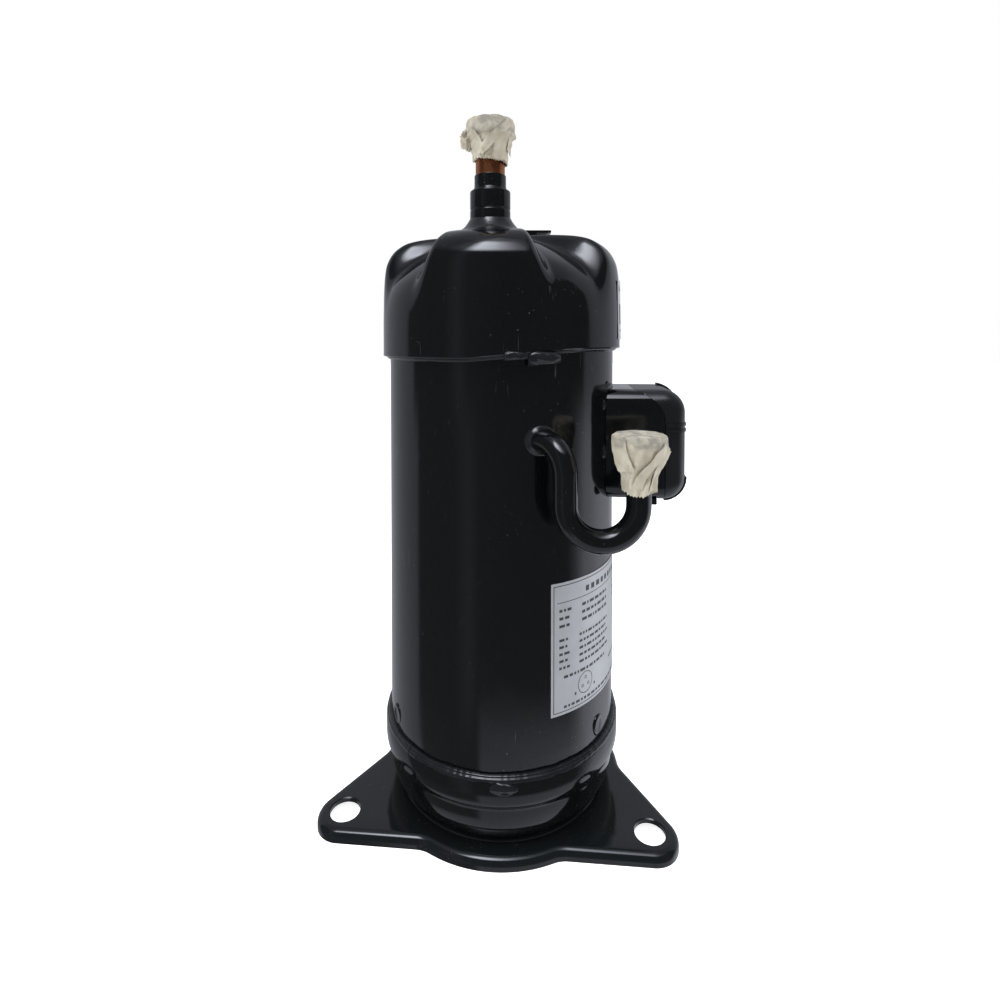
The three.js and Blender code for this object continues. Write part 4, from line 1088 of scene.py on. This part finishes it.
def discharge_wrap():
    low, high = discharge_tape_low.z, discharge_tape_high.z
    head = DISCHARGE_HEAD
    profile = ((8.2, low + 1.2), (8.5, low + 5), (9.0, high - 21), (10.9, high - 16.5),
               (12.8, high - 12), (13.7, high - 7), (13.8, high - 3.2), (13.1, high - 1.5),
               (10.5, high - 1.0), (4, high - 0.9), (0, high - 0.9))
    creases = ((-2.5, 1.1, 0.16, 0.9), (-1.6, 1.5, 0.14, 1.2), (-0.7, -0.3, 0.14, 0.9),
               (-0.25, -0.2, 0.12, 0.8), (0.8, 0.9, 0.2, 0.8), (2.2, -1.0, 0.2, 0.9))

    def hold(z):
        share = smoothstep(z, high - 19, high - 12.5)
        return lerp(TUBE_RADIUS + TAPE_GAP, DISCHARGE_PLUG_RADIUS, share)

    wrap = Wrap("discharge_tape_wrap", DISCHARGE.xy, profile, head, creases, hold, TUBE_TAPE,
                "discharge_seal", 2)
    wrap.cover(lambda angle: 1.0 * math.cos(2 * angle + 0.6), 34, ["discharge_tape"])
    wrap.strip("discharge_tape_left", [(-150, high - 2.6), (-146, high - 10), (-138, high - 18)],
               10, 0.5, curl=0.8)
    wrap.strip("discharge_tape_fold", [(-40, high - 5), (-66, high - 12), (-92, high - 20),
                                       (-108, high - 26)], 4.6, 0.8, ragged=False)
    wrap.strip("discharge_tape_right", [(-36, high - 8), (-42, high - 17), (-46, low + 2.6)],
               7, 0.35)
    wrap.strip("discharge_tape_rear", [(70, high - 4), (80, high - 14), (84, low + 3)], 9, 0.4)


# ---- terminal box

def box_outline(inset, steps=8):
    """The box's outline in its own (x, z) plane: square at the shell, round at the outside."""
    low, high = BOX_LOW + inset, BOX_TOP - inset
    outer, corner = BOX_OUTER - inset, BOX_CORNER - inset
    points = [(BOX_INNER, low)]
    points += arc((outer - corner, low + corner), corner, -90, 0, steps)
    points += arc((outer - corner, high - corner), corner, 0, 90, steps)
    points.append((BOX_INNER, high))
    return points


def box_blank(name, inset):
    """The outline drawn across the box's width, with its long edges rounded."""
    edge, steps = BOX_EDGE - inset, 7
    half = BOX_HALF - inset
    rings = []
    turns = [math.pi / 2 * k / steps for k in range(steps + 1)]
    for sign, order in ((-1, turns), (1, list(reversed(turns)))):
        for turn in order:
            pull = edge * (1 - math.sin(turn))
            y = sign * (half - edge * (1 - math.cos(turn)))
            rings.append([(x, y, z) for x, z in box_outline(inset + pull)])
    return skin(name, rings)


def seam_zone(name, shift):
    """Everything on the cover's side of the seam, which leans back over the top."""
    low, high = BOX_LOW - 20, BOX_TOP + 20
    seam, back = BOX_SEAM + shift, BOX_SEAM_TOP + shift
    points = [(seam, low), (140, low), (140, high), (back, high), (back, BOX_TOP)]
    for k in range(1, 11):
        t = k / 10
        x = back * (1 - t) ** 2 + seam * 2 * t * (1 - t) + seam * t * t
        z = BOX_TOP * (1 - t) ** 2 + (BOX_TOP - 6) * 2 * t * (1 - t) + (BOX_TOP - 20) * t * t
        points.append((x, z))
    return skin(name, [[(x, y, z) for x, z in points] for y in (-50, 50)])


def box_walls(name):
    walls = box_blank(name, 0)
    shell_space = lathe("space", [(0, 150), (SHELL_RADIUS + 0.35, 150), (SHELL_RADIUS + 0.35, 280),
                                  (0, 280)], segments=240)
    return carve(walls, [box_blank("hollow", BOX_WALL), shell_space])


def bar(name, low, high, edge=0.25):
    """A small bar with rounded edges, in the terminal box's own axes."""
    mesh = bpy.data.meshes.new(name)
    work = bmesh.new()
    bmesh.ops.create_cube(work, size=1)
    for vert in work.verts:
        vert.co = Vector([lerp(a, b, c + 0.5) for a, b, c in zip(low, high, vert.co)]) * MM
    bmesh.ops.bevel(work, geom=work.edges[:], offset=edge * MM, segments=2, affect="EDGES")
    work.to_mesh(mesh)
    work.free()
    finish_mesh(mesh, 35)
    obj = bpy.data.objects.new(name, mesh)
    bpy.context.scene.collection.objects.link(obj)
    return obj


def terminal_box():
    housing = carve(box_walls("terminal_fence"), [seam_zone("zone", 0)])
    tab = bar("tab", (86, -25, BOX_LOW - 2.4), (94, -17, BOX_LOW + 1))
    carve(housing, [tab], "UNION")
    place(turn_to_box(housing), PAINT, replaces=["terminal_housing"])
    cover = carve(box_walls("terminal_lid"), [seam_zone("zone", 0.35)], "INTERSECT")
    half = BOX_HALF
    levels = (BOX_TOP - 19.9, BOX_TOP - 23.3)
    start, past = BOX_SEAM + 0.8, BOX_OUTER + 20
    slabs = [((start, -half - 9, z - 0.8), (past, -2, z + 0.8)) for z in levels]
    slabs.append(((start, -20, BOX_LOW - 9), (past, -13, BOX_LOW + BOX_CORNER)))
    slabs.append(((start, 13, BOX_TOP - BOX_CORNER), (past, 20, BOX_TOP + 9)))
    ribs = [carve(carve(box_blank("rib", -proud), [bar("slab", low, high, 0.1)], "INTERSECT"),
                  [box_blank("hollow", BOX_WALL - 0.5)])
            for (low, high), proud in zip(slabs, (0.7, 0.7, 1.3, 1.3))]
    ribs.append(bar("hook", (98.6, -half - 0.6, BOX_TOP - 40.5), (100.8, -half + 1.5, BOX_TOP - 36.5)))
    carve(cover, ribs, "UNION")
    place(turn_to_box(cover), PLASTIC, body="cover", replaces=["terminal_cover"])


# ---- labels

def curved_patch(name, radius_at, thickness, from_az, to_az, low, high, rows=2):
    """A thin sheet that lies on a round wall. radius_at(z) is its inside."""
    columns = 40
    sides = []
    for lift in (thickness, 0):
        sides.append([polar(radius_at(z) + lift, lerp(from_az, to_az, j / columns), z)
                      for z in (lerp(low, high, i / rows) for i in range(rows + 1))
                      for j in range(columns + 1)])
    return sheet(name, *sides, rows, columns)


PLATE_FROM, PLATE_TO = -68, 14
LABEL_FROM, LABEL_TO = -22, 20
INK_RELIEF = 0.04


class Print:
    """Flat ink marks on a label, laid out in millimetres from its lower left corner."""

    def __init__(self, name, from_az, low, radius_at):
        self.name, self.from_az, self.low, self.radius_at = name, from_az, low, radius_at
        self.points, self.faces = [], []

    def spot(self, x, z, lift):
        height = self.low + z
        radius = self.radius_at(height)
        azimuth = self.from_az + math.degrees(x / radius)
        return polar(radius + lift, azimuth, height)

    def bar(self, x, z, width, height):
        """A filled rectangle with its lower left corner at (x, z)."""
        columns = max(1, round(width / 2.5))
        start = len(self.points)
        for lift in (INK_RELIEF, 0.0):
            for dz in (0, height):
                for j in range(columns + 1):
                    self.points.append(self.spot(x + width * j / columns, z + dz, lift))
        back = 2 * (columns + 1)
        shift = lambda faces: [tuple(start + v for v in face) for face in faces]
        self.faces += shift(grid_faces(1, columns, 0, False) + grid_faces(1, columns, back, True))
        self.faces += shift(rim_faces(1, columns, back))

    def frame(self, x, z, width, height, line):
        self.bar(x, z, width, line)
        self.bar(x, z + height - line, width, line)
        self.bar(x, z, line, height)
        self.bar(x + width - line, z, line, height)

    def ring(self, x, z, radius, line, segments=40):
        start = len(self.points)
        for k in range(segments):
            angle = 2 * math.pi * k / segments
            for r, lift in ((radius, INK_RELIEF), (radius - line, INK_RELIEF), (radius - line, 0.0),
                            (radius, 0.0)):
                self.points.append(self.spot(x + r * math.cos(angle), z + r * math.sin(angle), lift))
        for k in range(segments):
            here, there = start + 4 * k, start + 4 * ((k + 1) % segments)
            for m in range(4):
                n = (m + 1) % 4
                self.faces.append((here + m, there + m, there + n, here + n))

    def done(self):
        place(solid(self.name, self.points, self.faces), INK)


def dashes(sheet, rng, x, z, width, height, smallest=1.0, largest=4.0):
    """A row of short bars where a line of writing would stand."""
    end = x + width
    while x < end - smallest:
        length = min(rng.uniform(smallest, largest), end - x)
        sheet.bar(x, z, length, height)
        x += length + height * 0.7


def nameplate():
    inner = SHELL_RADIUS + 0.12
    low, high = plate_low.z, plate_high.z
    sheet = curved_patch("nameplate_sheet", lambda z: inner, 0.28, PLATE_FROM, PLATE_TO, low, high)
    place(sheet, PLATE, replaces=["nameplate"])
    marks = Print("nameplate_print", PLATE_FROM, low, lambda z: inner + 0.28)
    width = math.radians(PLATE_TO - PLATE_FROM) * (inner + 0.28)
    height = high - low
    rng = random.Random(11)
    marks.frame(1.4, 1.4, width - 2.8, height - 2.8, 0.45)
    dashes(marks, rng, 24, height - 8.6, width - 48, 3.0, 2.2, 3.4)
    marks.bar(3.5, height - 11, width - 7, 0.35)
    for row, (start, length) in enumerate(((5, 8), (5, 7), (5, 8))):
        z = height - 16 - 4.2 * row
        dashes(marks, rng, start, z, length, 1.5)
        dashes(marks, rng, start + 16, z, 26, 1.6)
        dashes(marks, rng, start + 56, z, 24, 1.6)
    for row in range(5):
        z = height - 32 - 3.8 * row
        dashes(marks, rng, 5, z, 7, 1.4)
        dashes(marks, rng, 19, z, 30 - 3 * (row % 2), 1.4)
    dashes(marks, rng, 8, height - 52.5, 36, 1.5)
    marks.ring(24, 12.5, 6, 0.4)
    for angle in (90, 210, 330):
        spot = polar(2.8, angle)
        marks.ring(24 + spot.x, 12.5 + spot.y, 0.9, 0.35, 16)
    marks.bar(15.5, 8.0, 1.2, 1.5)
    marks.bar(31.5, 8.0, 1.2, 1.5)
    dashes(marks, rng, 52, 14, 30, 1.4)
    dashes(marks, rng, 8, 3.2, width - 18, 1.4, 1.2, 5)
    marks.done()


def label_radius(z):
    share = (z - label_low.z) / (label_high.z - label_low.z)
    return lerp(CAP_RADIUS + 0.12, CAP_RADIUS - 0.45, share)


def cap_label():
    low, high = label_low.z, label_high.z
    sheet = curved_patch("cap_label_sheet", label_radius, 0.3, LABEL_FROM, LABEL_TO, low, high, rows=6)
    place(sheet, FILM, replaces=["cap_label"])
    marks = Print("cap_label_print", LABEL_FROM, low, lambda z: label_radius(z) + 0.3)
    width = math.radians(LABEL_TO - LABEL_FROM) * (CAP_RADIUS + 0.3)
    rng = random.Random(4)
    marks.bar(3, high - low - 6.5, 2.4, 3.2)
    dashes(marks, rng, 8, high - low - 6, width - 14, 1.6)
    x = 4.0
    while x < width - 6:
        line = rng.choice((0.4, 0.4, 0.8, 1.2))
        marks.bar(x, 9, line, 12)
        x += line + rng.choice((0.4, 0.8))
    dashes(marks, rng, 6, 4.5, width - 16, 1.5)
    marks.done()


def cap_bracket():
    strip = bar("bracket_strip", (bracket_low.x, bracket_low.y, bracket_high.z - 1.6),
                (bracket_high.x, bracket_high.y, bracket_high.z), 0.3)
    foot = bar("foot", (bracket_low.x + 2, bracket_low.y, bracket_low.z - 0.4),
               (bracket_low.x + 11, bracket_high.y, bracket_high.z - 1.2), 0.3)
    place(carve(strip, [foot], "UNION"), PAINT, replaces=["cap_bracket"])


# ---- studio

# The room as the gloss sees it: rings at six elevations, each with (turn, brightness) stops.
# A turn of 0 or 1 is in front of the object, 0.25 to its left, 0.5 behind and 0.75 to its right.
NEAR_FLOOR = ((0, 0.6), (0.08, 0.6), (0.25, 0.5), (0.5, 0.5), (0.73, 0.9), (1, 0.6))
STEEP_FLOOR = ((0, 0.60), (0.055, 0.60), (0.068, 0.16), (0.235, 0.16), (0.25, 0.45), (0.5, 0.5),
               (0.73, 1.2), (0.80, 0.75), (1, 0.60))
FLOOR = ((0, 0.13), (0.06, 0.14), (0.09, 0.26), (0.13, 0.14), (0.248, 0.11), (0.256, 0.42),
         (0.36, 0.46), (0.5, 0.5), (0.62, 0.6), (0.69, 1.05), (0.75, 1.05), (0.785, 0.4),
         (0.81, 0.12), (1, 0.13))
WALL = ((0, 0.10), (0.09, 0.14), (0.115, 0.26), (0.15, 0.12), (0.266, 0.10), (0.274, 0.42),
        (0.5, 0.45), (0.735, 0.44), (0.75, 0.40), (0.757, 0.07), (0.85, 0.10), (1, 0.10))
CEILING = ((0, 6.0), (0.03, 9.0), (0.09, 12.0), (0.13, 0.8), (0.20, 0.3), (0.5, 0.35), (0.80, 0.25),
           (0.90, 0.8), (0.95, 2.6), (1, 6.0))
ZENITH = ((0, 1.2), (0.09, 1.6), (0.2, 0.5), (0.5, 0.4), (0.8, 0.4), (1, 1.2))


def studio_world():
    """A white backdrop for the camera, soft light for matt surfaces and a room for gloss."""
    world = bpy.data.worlds.new("studio")
    bpy.context.scene.world = world
    world.use_nodes = True
    world.node_tree.nodes.clear()
    g = Graph(world.node_tree)
    split = g.add("SeparateXYZ")
    g.link(g.add("TexCoord").outputs["Generated"], split, 0)
    angle = g.add("Math", operation="ARCTAN2")
    g.link(split.outputs["X"], angle, 0)
    g.link(split.outputs["Y"], angle, 1)
    turn = g.plus(g.times(angle.outputs[0], 0.5 / math.pi), 0.5)

    def above(low, high):
        return g.map(split.outputs["Z"], interpolation_type="SMOOTHSTEP", From_Min=low,
                     From_Max=high)

    def ring(stops):
        return g.ramp(turn, [(at, (value * 0.94, value * 0.98, value * 1.08))
                             for at, value in stops])

    room = ring(NEAR_FLOOR)
    for low, high, stops in ((-0.78, -0.68, STEEP_FLOOR), (-0.60, -0.52, FLOOR),
                             (-0.20, -0.06, WALL), (0.68, 0.82, CEILING), (0.93, 0.98, ZENITH)):
        room = g.mix(above(low, high), room, ring(stops))
    rays = g.add("LightPath")
    seen = g.mix(rays.outputs["Is Glossy Ray"], (0.42, 0.43, 0.45), room)
    seen = g.mix(rays.outputs["Is Camera Ray"], seen, (1.0, 1.0, 1.0))
    light, out = g.add("Background"), g.add("OutputWorld")
    g.link(seen, light, "Color")
    g.link(light.outputs[0], out, "Surface")


def area_light(name, place_at, aim, size, power, colour=(1, 1, 1)):
    lamp = bpy.data.lights.new(name, "AREA")
    lamp.shape = "RECTANGLE"
    lamp.size, lamp.size_y = size
    lamp.energy = power
    lamp.color = colour
    obj = bpy.data.objects.new(name, lamp)
    obj.location = place_at
    obj.rotation_euler = (Vector(aim) - Vector(place_at)).to_track_quat("-Z", "Y").to_euler()
    obj.visible_glossy = False
    bpy.context.scene.collection.objects.link(obj)


def floor():
    mesh = bpy.data.meshes.new("floor")
    half = 6
    mesh.from_pydata([(-half, -half, 0), (half, -half, 0), (half, half, 0), (-half, half, 0)], [],
                     [(0, 1, 2, 3)])
    obj = bpy.data.objects.new("floor", mesh)
    bpy.context.scene.collection.objects.link(obj)
    n = Nodes("pale_floor")
    glow = n.times(n.add("LightPath").outputs["Is Camera Ray"], 0.86)
    n.set(Base_Color=(0.93, 0.93, 0.93, 1), Roughness=0.9, Specular_IOR_Level=0.1,
          Emission_Color=(1, 1, 1, 1), Emission_Strength=glow)
    obj.visible_glossy = False
    mesh.materials.append(n.material)


def camera():
    data = bpy.data.cameras.new("camera")
    data.lens = 20.76
    data.sensor_width = 36
    data.shift_y = -0.15
    data.clip_start = 0.01
    obj = bpy.data.objects.new("camera", data)
    obj.location = (-0.001, -0.3697, 0.2787)
    obj.rotation_euler = (math.radians(90 - 1.2), 0, 0)
    bpy.context.scene.collection.objects.link(obj)
    bpy.context.scene.camera = obj


def studio():
    camera()
    studio_world()
    floor()
    area_light("overhead", (0, -0.35, 1.5), (0, 0, 0.2), (1.6, 0.9), 14)
    area_light("key_left", (-1.3, -0.5, 0.9), (0, 0, 0.2), (0.5, 1.2), 9, (0.95, 0.98, 1))
    area_light("fill_right", (1.4, -0.3, 0.8), (0, 0, 0.2), (0.4, 1.0), 6, (0.95, 0.98, 1))
    bpy.context.scene.view_settings.view_transform = "Standard"


# ---- assembly

studio()
dress_cad_nodes()
shell_tube()
top_cap()
bottom_cap()
welds()
foot_plate()
suction_stub()
suction_fillet()
suction_tube()
discharge_tube()
discharge_fillet()
suction_wrap()
discharge_wrap()
terminal_box()
nameplate()
cap_label()
cap_bracket()
